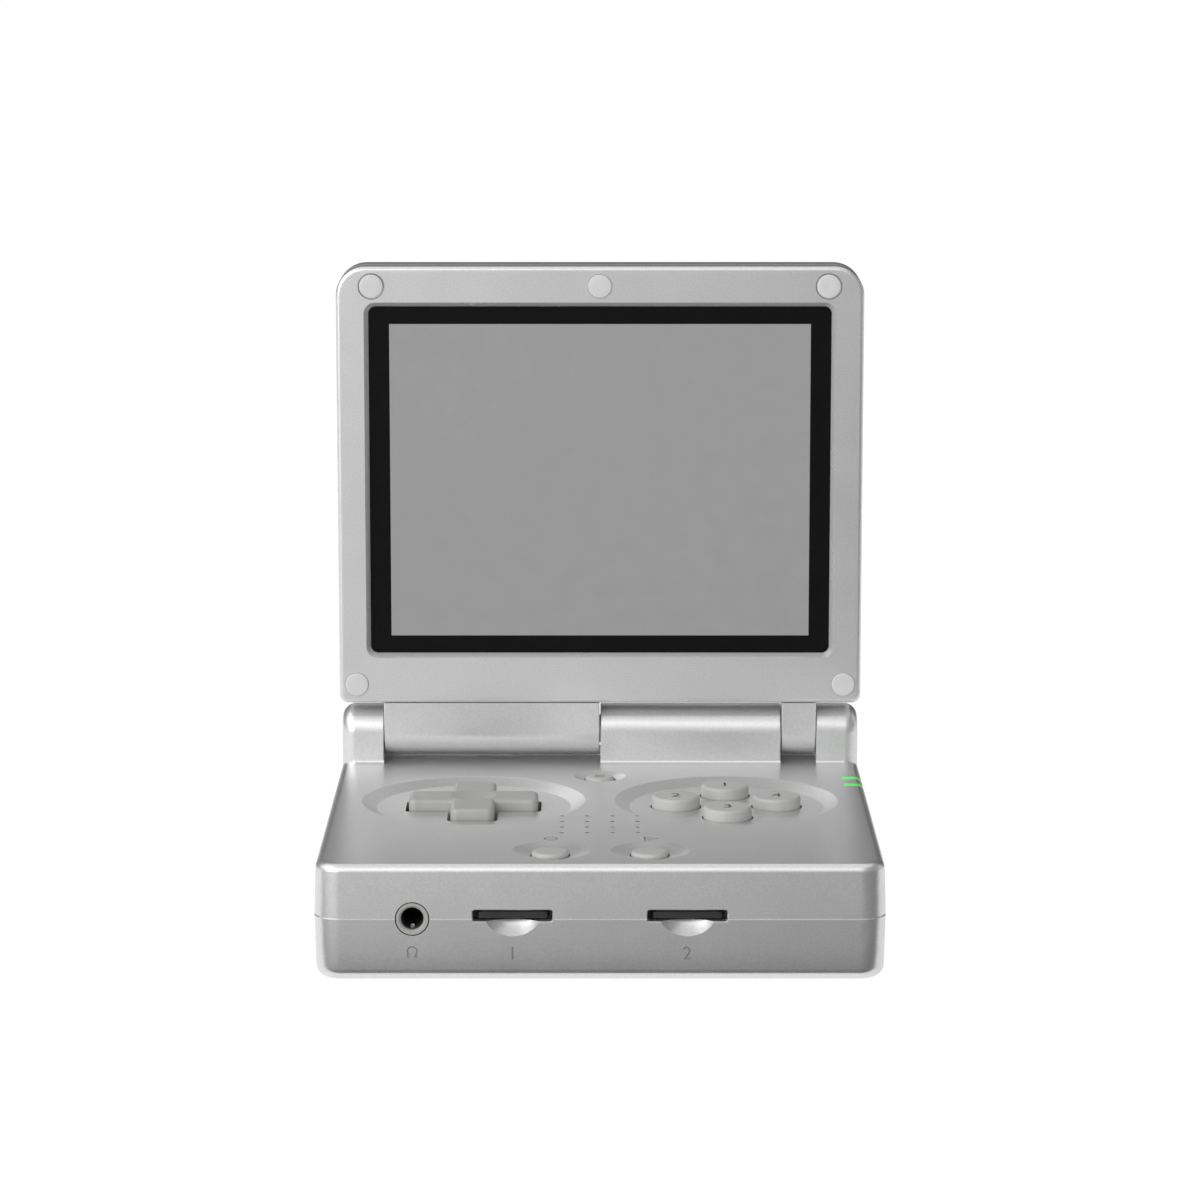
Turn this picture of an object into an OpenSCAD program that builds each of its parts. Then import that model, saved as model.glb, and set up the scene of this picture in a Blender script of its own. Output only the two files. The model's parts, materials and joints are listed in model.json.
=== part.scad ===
// Clamshell handheld game console, open at a right angle.
// Millimetres. +X is the player's right, -Y the front edge, +Z up.
// The origin is the middle of the flat underside that the console rests on.

/* [Case] */
// Width of the case and of the lid
case_w = 89; // [86:0.5:96]
// Depth of the case, from the front face to the back of the hinge
case_d = 84.5; // [82:0.5:92]
// Height of the case's top face above the table
case_h = 18.6; // [18:0.1:21]
// Height of the seam between the two case halves
seam_z = 10; // [9.6:0.1:10.6]
// Thickness of the case walls
wall = 1.6; // [1.2:0.1:2]
// Radius of the case's upright corners
corner_r = 4.2; // [3:0.1:6]
// Depth of the fine groove along the seams
seam_groove = 0.12; // [0.05:0.01:0.2]
// Rounding of the case's upper edge
top_edge_r = 1.3; // [0.6:0.1:1.8]
// Rounding of the case's lower edge
bottom_edge_r = 2; // [0.8:0.1:2.1]
// How far each side leans in from the seam to the top and to the bottom
side_lean = 0.25; // [0:0.05:0.5]

/* [Hinge] */
// Outer radius of the hinge barrels
barrel_r = 4.4; // [4:0.1:5]
// Height of the hinge's highest line above the table
barrel_top = 28.2; // [27.6:0.1:31]
// Width of each end lug
lug_w = 7.2; // [6:0.1:8]
// How far each end lug stays inside the case's side
lug_inset = 0.3; // [0.3:0.05:0.6]
// Rounding of the outer end of each lug
lug_end_r = 2.3; // [2.2:0.1:3]
// Width of the lid's short barrel next to the right lug
short_barrel_w = 6; // [4:0.1:8]
// Side gap between one barrel and the next
barrel_gap = 0.16; // [0.1:0.02:0.4]
// Radius of the hinge pin and of the cartridge's shaft
pin_r = 1.5; // [1:0.05:2]
// Radial running clearance of the lid on its pins
pin_play = 0.05; // [0.02:0.01:0.08]
// Radius of the hollow inside the long barrels
barrel_bore_r = 3.1; // [2.7:0.05:3.3]
// Length of the friction cartridge's body
cartridge_len = 19; // [14:0.5:22]
// Radius of the small fillet at the foot of each lug
foot_fillet_r = 0.5; // [0.2:0.05:0.7]
// Height of the low wall behind the lid's barrels above the case's top face
lip_h = 1.5; // [0.8:0.1:1.6]
// Thickness of that wall
lip_t = 1.25; // [1:0.05:1.4]
// Broken edges at the ends of the barrels
barrel_edge = 0.15; // [0.05:0.01:0.2]

/* [Lid] */
// Gap between the case and the closed lid
lid_gap = 0.4; // [0.3:0.05:0.8]
// Distance from the hinge axis to the lid's lower edge
lid_start = 5.35; // [5.2:0.05:6.5]
// Radius of the lid's two free corners
lid_corner_r = 5; // [3:0.1:7]
// Radius of the lid's two corners at the hinge
lid_foot_r = 1.4; // [1.3:0.1:2.4]
// Rounding of the lid's inner edge
lid_edge_r = 0.7; // [0.3:0.05:1]
// Rounding of the lid's outer edge
lid_back_r = 1.2; // [0.6:0.05:1.3]
// Thickness of the bezel, front to back
bezel_t = 3.6; // [3.2:0.1:4.4]
// Wall thickness of the lid's back shell
lid_wall = 1.5; // [1:0.1:2]

/* [Screen] */
// Width of the picture area
screen_w = 71.12; // [66:0.02:72]
// Height of the picture area
screen_h = 53.34; // [50:0.02:54]
// Distance from the hinge axis to the middle of the picture area
screen_at = 43.6; // [42.6:0.1:44.4]
// Black border of the glass around the picture area, at the sides
border_x = 3.45; // [2.5:0.05:4]
// Black border of the glass above and below the picture area
border_y = 2.95; // [2:0.05:3.5]
// Thickness of the glass
glass_t = 0.9; // [0.6:0.1:1.2]
// Depth of the glass below the bezel's face
glass_drop = 1.1; // [1:0.05:1.2]
// Width of the sloped rim round the glass
glass_rim = 0.75; // [0.6:0.05:1]
// Width of the display panel's own frame around the picture area
panel_margin = 2; // [1:0.1:2.6]
// Thickness of the display panel
panel_t = 2.4; // [1.8:0.1:3]

/* [Bumpers] */
// Diameter of the bumpers round the screen
bumper_d = 4; // [3:0.1:4.6]
// How far a bumper stands out of the bezel
bumper_proud = 0.3; // [0.15:0.05:0.35]
// Distance of the upper bumpers from the lid's free edge
bumper_top_in = 3.35; // [3:0.05:4]
// Distance of the upper corner bumpers from the lid's side
bumper_side_in = 6; // [5:0.1:7]
// Distance of the lower bumpers from the lid's lower edge
bumper_low_in = 3.25; // [3:0.05:4]
// Distance of the lower bumpers from the lid's side
bumper_low_side_in = 3; // [2.8:0.1:4]

/* [Control dishes] */
// Distance of the two large dishes from the middle
dish_x = 20.8; // [20.4:0.1:22]
// Distance of the two large dishes' centres from the case's front
dish_front = 46.5; // [44:0.1:48]
// Diameter of the large dishes at the top face
dish_d = 36.8; // [34:0.1:38]
// Diameter of the large dishes' flat floor
dish_floor_d = 32; // [30:0.1:33]
// Depth of the large dishes
dish_depth = 1.1; // [0.6:0.05:1.3]
// Thickness of the case under a dish
dish_wall = 1.4; // [1:0.1:1.6]
// Rounding of the dishes' and bowls' rims
dish_rim_r = 0.5; // [0.3:0.1:1.5]
// Rounding at the foot of the large dishes' walls
dish_foot_r = 0.8; // [0.4:0.1:3]

/* [Direction pad] */
// Length of the direction pad from tip to tip
dpad_span = 21.2; // [18:0.1:22]
// Width of the direction pad's arms
dpad_arm = 7.1; // [6:0.1:8]
// How far the direction pad stands above its dish
dpad_proud = 1.95; // [1.5:0.05:2]
// Gap between the direction pad and the edge of its hole
dpad_gap = 0.55; // [0.45:0.05:0.8]
// Diameter of the direction pad's flange below the case
dpad_flange_d = 22; // [20:0.1:22.4]

/* [Buttons] */
// Diameter of the four face buttons
face_d = 7.9; // [7:0.1:8.4]
// Distance of each face button from the middle of its dish
face_ring = 8.3; // [8:0.1:9]
// How far the face buttons stand above their dish
face_proud = 1.95; // [1.5:0.05:2.1]
// Diameter of the two start buttons
start_d = 5.85; // [5:0.05:6.4]
// Diameter of the start buttons' shallow dishes
start_dish_d = 12.3; // [11:0.1:13]
// Distance of the start buttons from the middle
start_x = 7.8; // [7.4:0.1:9]
// Distance of the start buttons from the case's front
start_front = 9.8; // [9.2:0.1:11]
// Diameter of the menu button
menu_d = 4.9; // [4:0.1:5.4]
// Diameter of the menu button's shallow dish
menu_dish_d = 8.7; // [8:0.1:9.4]
// Distance of the menu button from the case's front
menu_front = 65.3; // [64:0.1:66.5]
// Depth of the three shallow dishes
bowl_depth = 1; // [0.6:0.05:1.2]
// Travel of every button on the case's top
press = 1; // [0.6:0.05:1.1]
// Gap between a button and the edge of its hole
button_gap = 0.25; // [0.2:0.01:0.35]
// Gap between a button's flange and the case above it
flange_gap = 0.3; // [0.2:0.05:0.4]
// Thickness of the buttons' flanges
flange_t = 0.9; // [0.7:0.05:1]
// Width of a button's flange outside its stem
flange_out = 0.9; // [0.7:0.05:1]

/* [Shoulder and side buttons] */
// Height of the shoulder buttons
shoulder_h = 7.6; // [6:0.1:8]
// Width of the outer shoulder buttons
outer_shoulder_w = 14; // [10:0.1:14.5]
// Width of the inner shoulder buttons
inner_shoulder_w = 9; // [7:0.1:9.5]
// Distance of the outer shoulder buttons' middle from the case's side
outer_shoulder_in = 12; // [11.5:0.1:12.5]
// Distance of the inner shoulder buttons' middle from the case's side
inner_shoulder_in = 24.9; // [24.5:0.1:25.5]
// How far the shoulder buttons stand out of the back
shoulder_proud = 0.9; // [0.5:0.05:1.2]
// Travel of the shoulder buttons
shoulder_press = 0.8; // [0.5:0.05:0.85]
// Height of the volume rocker, the power button and the reset button
side_h = 3; // [2.4:0.1:3.2]
// Length of the volume rocker
rocker_len = 14; // [10:0.1:16]
// Length of the power button
power_len = 8; // [6:0.1:10]
// How far the side buttons stand out of the case
side_proud = 0.5; // [0.3:0.05:0.7]
// Travel of the power and reset buttons
side_press = 0.4; // [0.3:0.05:0.5]

/* [Openings in the walls] */
// Distance of the headphone jack from the case's side
jack_in = 15.4; // [15:0.1:16]
// Radius of the headphone jack's bore
jack_r = 1.77; // [1.75:0.01:1.8]
// Outer radius of the jack's ring in the front wall
jack_ring_r = 2.5; // [2.3:0.05:2.7]
// Length of the headphone jack's bore
jack_len = 12; // [10:0.5:14]
// Distance of the two card slots from the middle
slot_x = 13.55; // [13.2:0.05:14]
// Width of the card slots
slot_w = 12.4; // [11.6:0.1:13]
// Height of the card slots
slot_h = 1.8; // [1.6:0.05:1.9]
// Broken edge round the card slots
slot_edge = 0.2; // [0.1:0.05:0.3]
// Height of the card slots' lower edge above the table
slot_z = 9.6; // [9.4:0.05:9.65]
// Width of the finger scoop at a card slot
scoop_w = 8.4; // [7:0.1:9]
// Height of the finger scoop
scoop_h = 2.4; // [1.8:0.1:2.6]
// Width of the charging port's opening
usb_w = 9; // [8.8:0.1:9.2]
// Height of the charging port's opening
usb_h = 3.2; // [3:0.1:3.2]
// Width of the video port's opening
video_w = 11.2; // [11:0.1:11.4]
// Distance of the two ports from the middle
port_x = 7.4; // [7.2:0.1:7.6]
// Diameter of the speaker's sound holes
sound_hole_d = 0.8; // [0.5:0.05:1.4]
// Spacing of the sound holes
sound_pitch = 4.05; // [3.6:0.05:4.1]
// Sound holes in a row, and rows
sound_rows = 4; // [2:1:4]
// Distance of the sound holes' middle from the case's front
sound_front = 28.5; // [28:0.1:29]
// Width of each green light strip
light_w = 1.5; // [1:0.1:2]
// Spacing of the two light strips
light_pitch = 5.3; // [4:0.1:6]
// Distance of the light strips' middle from the case's front
light_front = 61; // [59:0.1:62]
// Length of a light strip on the top face, in from the case's side
light_in = 3.6; // [2.6:0.1:3.8]
// Length of a light strip down the case's side
light_down = 5; // [3:0.1:6]

/* [Inside] */
// Height of the main board's underside above the table
board_z = 11.5; // [11.45:0.05:11.6]
// Thickness of the main board
board_t = 1; // [0.8:0.1:1]
// Width of the battery
battery_w = 52; // [40:0.5:56]
// Length of the battery
battery_l = 42; // [30:0.5:43]
// Thickness of the battery
battery_t = 5.5; // [4:0.1:6]
// Thickness of the battery cover
cover_t = 1.4; // [1:0.1:1.5]
// Width of the ledge that the battery cover sits on
ledge = 2; // [1.4:0.1:2.4]
// Radius of the case screws' shanks
screw_r = 0.9; // [0.7:0.05:1]
// Radius of the case screws' heads
head_r = 1.75; // [1.5:0.05:1.9]
// Gap round pieces that don't move against each other
fit_gap = 0.05; // [0.03:0.01:0.1]

/* [Hidden] */
$fn = 64;
paint = [0.74, 0.74, 0.75];
button_grey = [0.72, 0.72, 0.70];
rubber_grey = [0.55, 0.56, 0.58];
steel = [0.78, 0.78, 0.76];
dark = [0.16, 0.16, 0.17];
// A hair's breadth that makes cutting shapes pass cleanly through faces
eps = 0.01;
// Steps in a rounded edge
edge_steps = 8;

half_w = case_w / 2;
front_y = -case_d / 2;
back_y = case_d / 2;
inner_top = case_h - wall;
board_top = board_z + board_t;

// Hinge axis
axis_y = back_y - barrel_r;
axis_z = barrel_top - barrel_r;
lug_out = half_w - lug_inset;
lug_in = lug_out - lug_w;
back_corner_r = lug_end_r + lug_inset;
lid_face = axis_z - case_h - lid_gap;
lid_len = axis_y - front_y;
short_in = lug_in - short_barrel_w;
lid_split = lid_face - bezel_t;
shaft_reach = 3.6;
pin_l = 11.6;
cable_w = 6;
cable_x = 5;
cable_roll_r = 2.4;
cable_bore_l = 22;
bezel_skin = 1.5;

// Screen glass and its window
glass_w = screen_w + 2 * border_x;
glass_h = screen_h + 2 * border_y;
glass_top = lid_face - glass_drop;
panel_top = glass_top - glass_t - 2 * fit_gap;
glass_corner_r = 1.2;

// Bumpers as [x, distance from the hinge axis, gap to the pocket's edge]; screws lie under four of them
bumper_deep = 0.9;
bumper_top_at = lid_len - bumper_top_in;
bumper_low_at = lid_start + bumper_low_in;
bumper_at = [for (s = [-1, 1]) each [[s * (half_w - bumper_side_in), bumper_top_at, 0.25],
    [s * (half_w - bumper_low_side_in), bumper_low_at, fit_gap]], [0, bumper_top_at, fit_gap]];
lid_screw_at = [for (b = bumper_at) if (b[0] != 0) b];
lid_head_z = lid_face - bumper_deep - 0.8;
lid_head_r = 1.4;

// Controls
dish_y = front_y + dish_front;
dish_floor = case_h - dish_depth;
dish_under = dish_floor - dish_wall;
dish_at = [[-dish_x, dish_y], [dish_x, dish_y]];
face_at = [for (a = [0 : 90 : 270]) [dish_x + face_ring * cos(a), dish_y + face_ring * sin(a)]];
start_y = front_y + start_front;
menu_y = front_y + menu_front;
flange_top = dish_under - flange_gap;
flange_low = flange_top - flange_t;
dome_top = flange_low - press - flange_gap / 2;
// The direction pad rocks about this height; tilted both ways at once, its flange just clears the case
dpad_tilt = 2.75;
dpad_slope = sin(1.42 * dpad_tilt);
dpad_flange_t = 0.8;
rock_z = dish_under - dpad_flange_t - dpad_slope * dpad_flange_d / 2 - 0.15;
pivot_r = 1.3;
dpad_dome_at = 7.5;
dpad_dome_r = 1.7;
dpad_dome_top = rock_z - dpad_slope * (dpad_dome_at + dpad_dome_r) - 0.14;
sheet_t = 0.4;
// Buttons in shallow dishes: x, y, button diameter, dish diameter
small_buttons = [[-start_x, start_y, start_d, start_dish_d], [start_x, start_y, start_d, start_dish_d],
    [0, menu_y, menu_d, menu_dish_d]];

// Screws: case screws join the two halves, board screws hold the board up in the top half
screw_inset = 6.2;
case_screw_at = [for (s = [-1, 1]) each [[s * (half_w - screw_inset), front_y + 7],
    [s * (half_w - screw_inset), back_y - 15]], [0, front_y + 4.2]];
board_screw_in = 10;
board_screw_front = 21.5;
board_screw_x = 15;
board_screw_back = 14.8;
board_screw_at = [for (s = [-1, 1]) each [[s * (half_w - board_screw_in), front_y + board_screw_front],
    [s * board_screw_x, back_y - board_screw_back]]];
post_r = 2.3;
foot_r = 2.9;
board_post_r = 1.7;
board_screw_r = 0.7;
sink_depth = 3;
head_t = 1;
screw_tip = inner_top - 2;

// Battery bay
bay_y = 3.5;
cover_w = battery_w + 2 * ledge + 4;
cover_l = battery_l + 2 * ledge + 6;
bay_wall = 1;
bay_gap = 1;
bay_w = battery_w + 2 * bay_gap;
bay_l = battery_l + 2 * bay_gap;
bay_floor = cover_t + 1.2;
cover_screw_in = 8;
cover_screw_at = [for (s = [-1, 1]) [s * (cover_w / 2 - cover_screw_in), bay_y - cover_l / 2 + 2.1]];

// Side and back buttons
side_inner = half_w - side_lean - wall;
back_inner = back_y - side_lean - wall;
shoulder_z = seam_z;
shoulder_flange_y = back_inner - flange_gap;
rocker_y = -2;
power_y = 2;
reset_y = -12;
rocker_tilt = 3;
outer_shoulder_x = half_w - outer_shoulder_in;
inner_shoulder_x = half_w - inner_shoulder_in;
shoulder_at = [[-outer_shoulder_x, outer_shoulder_w], [-inner_shoulder_x, inner_shoulder_w],
    [inner_shoulder_x, inner_shoulder_w], [outer_shoulder_x, outer_shoulder_w]];
rocker_swing = (rocker_len / 2 + flange_out) * sin(rocker_tilt);
// Inner faces of the side keys, and the tips of the plungers that a key reaches when pressed all the way
key_back = side_inner - flange_gap - flange_t;
key_tip = key_back - side_press - flange_gap / 2;
rocker_back = key_back - rocker_swing;
rocker_tip = rocker_back - rocker_swing - flange_gap / 2;
port_z = board_z - fit_gap - usb_h / 2;
jack_z = seam_z;
jack_x = half_w - jack_in;
jack_groove = 0.18;
jack_body_w = 6.4;
jack_body_h = 5.2;
jack_body_l = 10.4;
port_l = 9.6;
port_skin = 0.35;

// Main board
board_front = front_y + wall + side_lean + 0.5;
board_back = back_inner - 7.4;
board_l = board_back - board_front;
board_mid = (board_back + board_front) / 2;
board_half_w = side_inner - 5;
side_switch_w = 3.6;
side_switch_h = 2.6;
side_switch_in = board_half_w - 1.6;

// Speaker, motor and shield on the board
speaker_w = 14;
speaker_l = 13;
speaker_back = 2.4;
motor_r = 2;
motor_l = 9;
shield_w = 20;
shield_t = 1.8;

// Card sockets and cards
card_front = front_y + 0.9;
card_w = 11;
card_l = 14;
card_t = 1;
card_low = 0.5;
card_push = 0.6;
socket_front = front_y + wall + side_lean + 0.8;
socket_t = 2;
// A ball cuts each finger scoop; scoop_r is the ball's round section in the case's front face
scoop_r = (scoop_w * scoop_w / 4 + scoop_h * scoop_h) / (2 * scoop_h);
scoop_ball = 1.25 * scoop_r;
scoop_back = 0.65;
scoop_out = sqrt(scoop_ball * scoop_ball - scoop_r * scoop_r);

// Points of an arc about [x, z], from angle a to angle b
function arc(x, z, r, a, b) =
    [for (i = [0 : edge_steps]) let (t = a + (b - a) * i / edge_steps) [x + r * cos(t), z + r * sin(t)]];
// Side profiles as [inset, height] pairs, from the bottom up
function flip(points) = [for (p = points) [-p[0], p[1]]];
low_angle = atan(side_lean / seam_z);
high_angle = atan(side_lean / (case_h - seam_z));
low_profile = concat(flip(arc(-side_lean * (1 - bottom_edge_r / seam_z) - bottom_edge_r / cos(low_angle),
    bottom_edge_r, bottom_edge_r, -90, -low_angle)), [[0, seam_z - seam_groove], [seam_groove, seam_z]]);
high_profile = concat([[seam_groove, seam_z], [0, seam_z + seam_groove]],
    flip(arc(-side_lean * (1 - top_edge_r / (case_h - seam_z)) - top_edge_r / cos(high_angle),
    case_h - top_edge_r, top_edge_r, high_angle, 90)));
bezel_profile = concat([[seam_groove, lid_split], [0, lid_split + seam_groove]],
    flip(arc(-lid_edge_r, lid_face - lid_edge_r, lid_edge_r, 0, 90)));
back_profile = concat(flip(arc(-lid_back_r, lid_back_r - barrel_r, lid_back_r, -90, 0)),
    [[0, lid_split - seam_groove], [seam_groove, lid_split]]);
// Straight sides with a rounded upper edge
function cap_profile(low, high, r) = concat([[0, low]], flip(arc(-r, high - r, r, 0, 90)));

// Half of a flat block whose side follows a profile, with corners of radius r at y = l
module half_pillow(w, l, r, profile) {
    low = profile[0][1];
    high = profile[len(profile) - 1][1];
    x = w / 2 - r;
    y = l - r;
    // The profile from an inner line at start out to the side at reach
    function edge(start, reach) =
        concat([[start, low]], [for (p = profile) [reach - p[0], p[1]]], [[start, high]]);
    // The walls reach a little way into the middle block
    lap = 0.05;
    translate([-x, 0, low]) cube([2 * x, y, high - low]);
    translate([-x, 0, 0]) rotate([90, 0, 90]) linear_extrude(2 * x) polygon(edge(y - lap, l));
    for (side = [0, 1]) mirror([side, 0, 0]) {
        translate([0, y, 0]) rotate([90, 0, 0]) linear_extrude(y) polygon(edge(x - lap, w / 2));
        translate([x, y, 0]) rotate_extrude(angle = 90) polygon(edge(0, r));
    }
}
module pillow(w, d, r, profile) {
    half_pillow(w, d / 2, r, profile);
    mirror([0, 1, 0]) half_pillow(w, d / 2, r, profile);
}
// Plain block with rounded upright corners, standing on z = 0
module rounded_block(w, d, h, r) {
    linear_extrude(h) rounded_square(w, d, r);
}
module rounded_square(w, d, r) {
    square([w - 2 * r, d], center = true);
    square([w, d - 2 * r], center = true);
    for (x = [-1, 1], y = [-1, 1]) translate([x * (w / 2 - r), y * (d / 2 - r)]) circle(r);
}
// Box given by its middle in x and y, and its lowest point
module block(w, d, h) {
    translate([-w / 2, -d / 2, 0]) cube([w, d, h]);
}
module along_x(x0, x1, r) {
    translate([x0, 0, 0]) rotate([0, 90, 0]) cylinder(r = r, h = x1 - x0);
}
// Places for a row of things
module at(points, z) {
    for (p = points) translate([p[0], p[1], z]) children();
}
module at_axis() {
    translate([0, axis_y, axis_z]) children();
}
// The lid's own frame: x across, y away from the hinge, z out of the screen
module in_lid() {
    at_axis() rotate([90, 0, 0]) children();
}

// Solid form of one case half, and the room inside the case
module case_form(profile) {
    half_pillow(case_w, case_d / 2, back_corner_r, profile);
    mirror([0, 1, 0]) half_pillow(case_w, case_d / 2, corner_r, profile);
}
module case_room(low, high) {
    translate([0, 0, low]) rounded_block(2 * side_inner, 2 * back_inner, high - low, corner_r - wall);
}
// Openings that the seam runs through, cut from both halves
module seam_openings() {
    translate([-jack_x, front_y + 2 * wall, jack_z]) rotate([90, 0, 0])
        cylinder(r = jack_ring_r + jack_groove, h = 3 * wall);
    for (x = [-slot_x, slot_x]) translate([x, front_y, slot_z + slot_h / 2]) rotate([90, 0, 0])
        pillow(slot_w, slot_h, 2 * slot_edge,
            [[0, -3 * wall], [0, -slot_edge], [-slot_edge, 0.05], [-slot_edge, wall]]);
    for (s = shoulder_at) translate([s[0], back_y, shoulder_z - shoulder_h / 2 - button_gap])
        block(s[1] + 2 * button_gap, 5 * wall, shoulder_h + 2 * button_gap);
    translate([-port_x, back_y, port_z]) rotate([90, 0, 0])
        linear_extrude(4 * wall, center = true) rounded_square(usb_w, usb_h, usb_h / 2 - eps);
    translate([port_x, back_y, port_z]) rotate([90, 0, 0])
        linear_extrude(4 * wall, center = true) rounded_square(video_w, usb_h, 0.8);
    side_opening(-half_w, rocker_y, rocker_len);
    side_opening(half_w, power_y, power_len);
    side_opening(half_w, reset_y, side_h);
}
module side_opening(x, y, length) {
    translate([x, y, seam_z]) rotate([0, 90, 0]) linear_extrude(5 * wall, center = true)
        rounded_square(side_h + 2 * button_gap, length + 2 * button_gap, side_h / 2);
}

// Hinge lugs: round above the axis, straight below it
lug_edge = concat([[0, lug_in], [barrel_r - barrel_edge, lug_in], [barrel_r, lug_in + barrel_edge]],
    arc(barrel_r - lug_end_r, lug_out - lug_end_r, lug_end_r, 0, 90), [[0, lug_out]]);
module lug() {
    at_axis() rotate([0, 90, 0]) rotate([0, 0, 90]) rotate_extrude(angle = 180) polygon(lug_edge);
    translate([0, axis_y, seam_z]) linear_extrude(axis_z - seam_z) {
        polygon([for (p = lug_edge) [p[1], p[0]]]);
        polygon([for (p = lug_edge) [p[1], -p[0]]]);
    }
    foot_fillet(lug_in, lug_out - lug_end_r);
}
// Side profile of a barrel from x0 to x1 with its edges broken, as [radius, x] pairs
function barrel_side(x0, x1) = [[0, x0], [barrel_r - barrel_edge, x0], [barrel_r, x0 + barrel_edge],
    [barrel_r, x1 - barrel_edge], [barrel_r - barrel_edge, x1], [0, x1]];
module half_barrel(x0, x1) {
    rotate([0, 90, 0]) rotate([0, 0, 90]) rotate_extrude(angle = 180) polygon(barrel_side(x0, x1));
}
// Straight foot of a barrel, from z = 0 up
module barrel_foot(x0, x1, h) {
    linear_extrude(h) {
        polygon([for (p = barrel_side(x0, x1)) [p[1], p[0]]]);
        polygon([for (p = barrel_side(x0, x1)) [p[1], -p[0]]]);
    }
}
// The barrel in the middle belongs to the case
module case_barrel() {
    x0 = barrel_gap / 2;
    x1 = short_in - barrel_gap / 2;
    at_axis() half_barrel(x0, x1);
    translate([0, axis_y, seam_z]) barrel_foot(x0, x1, axis_z - seam_z);
    foot_fillet(x0, x1);
}
module foot_fillet(x0, x1) {
    r = foot_fillet_r;
    translate([x0, axis_y - barrel_r, case_h]) rotate([90, 0, 90]) linear_extrude(x1 - x0)
        polygon(concat([[eps, -eps], [-r, -eps]], arc(-r, r, r, -90, 0), [[eps, r]]));
}
// Dish with a flat floor, a sloped wall and softly rounded bends
module large_dish() {
    slope = atan(2 * dish_depth / (dish_d - dish_floor_d));
    rim_x = dish_d / 2 + dish_rim_r * tan(slope / 2);
    foot_x = dish_floor_d / 2 - dish_foot_r * tan(slope / 2);
    rotate_extrude($fn = 128) polygon(concat([[0, dish_floor]],
        arc(foot_x, dish_floor + dish_foot_r, dish_foot_r, -90, slope - 90),
        arc(rim_x, case_h - dish_rim_r, dish_rim_r, 90 + slope, 90), [[rim_x, case_h + 1], [0, case_h + 1]]));
}
// Shallow bowl, part of a ball with a rounded rim
module bowl(d) {
    ball_r = (d * d / 4 + bowl_depth * bowl_depth) / (2 * bowl_depth);
    rise = ball_r - bowl_depth + dish_rim_r;
    slope = acos(rise / (ball_r + dish_rim_r));
    rim_x = (ball_r + dish_rim_r) * sin(slope);
    rotate_extrude($fn = 96) polygon(concat(arc(0, case_h + ball_r - bowl_depth, ball_r, -90, slope - 90),
        arc(rim_x, case_h - dish_rim_r, dish_rim_r, 90 + slope, 90), [[rim_x, case_h + 1], [0, case_h + 1]]));
}
module plus(span, arm, r) {
    rounded_square(span, arm, r);
    rounded_square(arm, span, r);
}
// Strips of the case's own skin: the lights lie level with the case all round
module light_room(gap) {
    for (s = [-0.5, 0.5]) translate([0, front_y + light_front + s * light_pitch, 0]) {
        translate([half_w - light_in - gap, -light_w / 2 - gap, inner_top - 1])
            cube([light_in + 2, light_w + 2 * gap, wall + 3]);
        translate([side_inner - eps, -light_w / 2 - gap, case_h - light_down - gap])
            cube([wall + 2, light_w + 2 * gap, light_down + 2]);
    }
}
// Upper half of the case, hollow, with its dishes and bowls sunk into thicker places
module dished_top() {
    boss_h = inner_top - dish_under + eps;
    difference() {
        union() {
            difference() {
                case_form(high_profile);
                case_room(seam_z - 1, inner_top);
            }
            at(dish_at, dish_under) cylinder(d = dish_d + 1.2, h = boss_h);
            for (b = small_buttons) translate([b[0], b[1], dish_under])
                cylinder(r = b[2] / 2 + flange_out + 1, h = boss_h);
        }
        at(dish_at, 0) large_dish();
        for (b = small_buttons) translate([b[0], b[1], 0]) bowl(b[3]);
    }
}
// Low wall along the back edge, close behind the lid's barrels
module back_lip() {
    r = 0.5;
    y0 = back_y - side_lean - lip_t;
    top = case_h + lip_h;
    translate([-lug_in - 1, 0, 0]) rotate([90, 0, 90]) linear_extrude(2 * lug_in + 2)
        polygon(concat([[y0, case_h - top_edge_r]], arc(y0 + r, top - r, r, 180, 90),
            arc(y0 + lip_t - r, top - r, r, 90, 0), [[y0 + lip_t, case_h - top_edge_r]]));
}
module hinge_mass() {
    difference() {
        union() {
            lug();
            mirror([1, 0, 0]) lug();
            case_barrel();
            back_lip();
        }
        case_room(seam_z - 1, inner_top - 2);
    }
}
module control_holes() {
    translate([-dish_x, dish_y, dish_under - 1]) linear_extrude(3 * wall)
        plus(dpad_span + 2 * dpad_gap, dpad_arm + 2 * dpad_gap, 1.2);
    at(face_at, dish_under - 1) cylinder(d = face_d + 2 * button_gap, h = 3 * wall);
    for (b = small_buttons) translate([b[0], b[1], dish_under - 1])
        cylinder(d = b[2] + 2 * button_gap, h = 3 * wall);
}
module sound_holes() {
    first = -(sound_rows - 1) / 2;
    for (i = [first : -first], j = [first : -first])
        translate([i * sound_pitch, front_y + sound_front + j * sound_pitch, inner_top - 1])
        cylinder(d = sound_hole_d, h = 2 * wall + 1, $fn = 24);
}
module hinge_bores() {
    at_axis() along_x(lug_in - 1, lug_in + shaft_reach + 0.2, pin_r + fit_gap);
    at_axis() along_x(-lug_in - shaft_reach - 0.2, 1 - lug_in, pin_r + fit_gap);
    at_axis() along_x(-1, short_in + 1, barrel_bore_r);
    // Way down for the display cable
    translate([cable_x, axis_y, inner_top - 3]) block(cable_w + 1, 1.2, axis_z - inner_top + 3);
}
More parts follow.
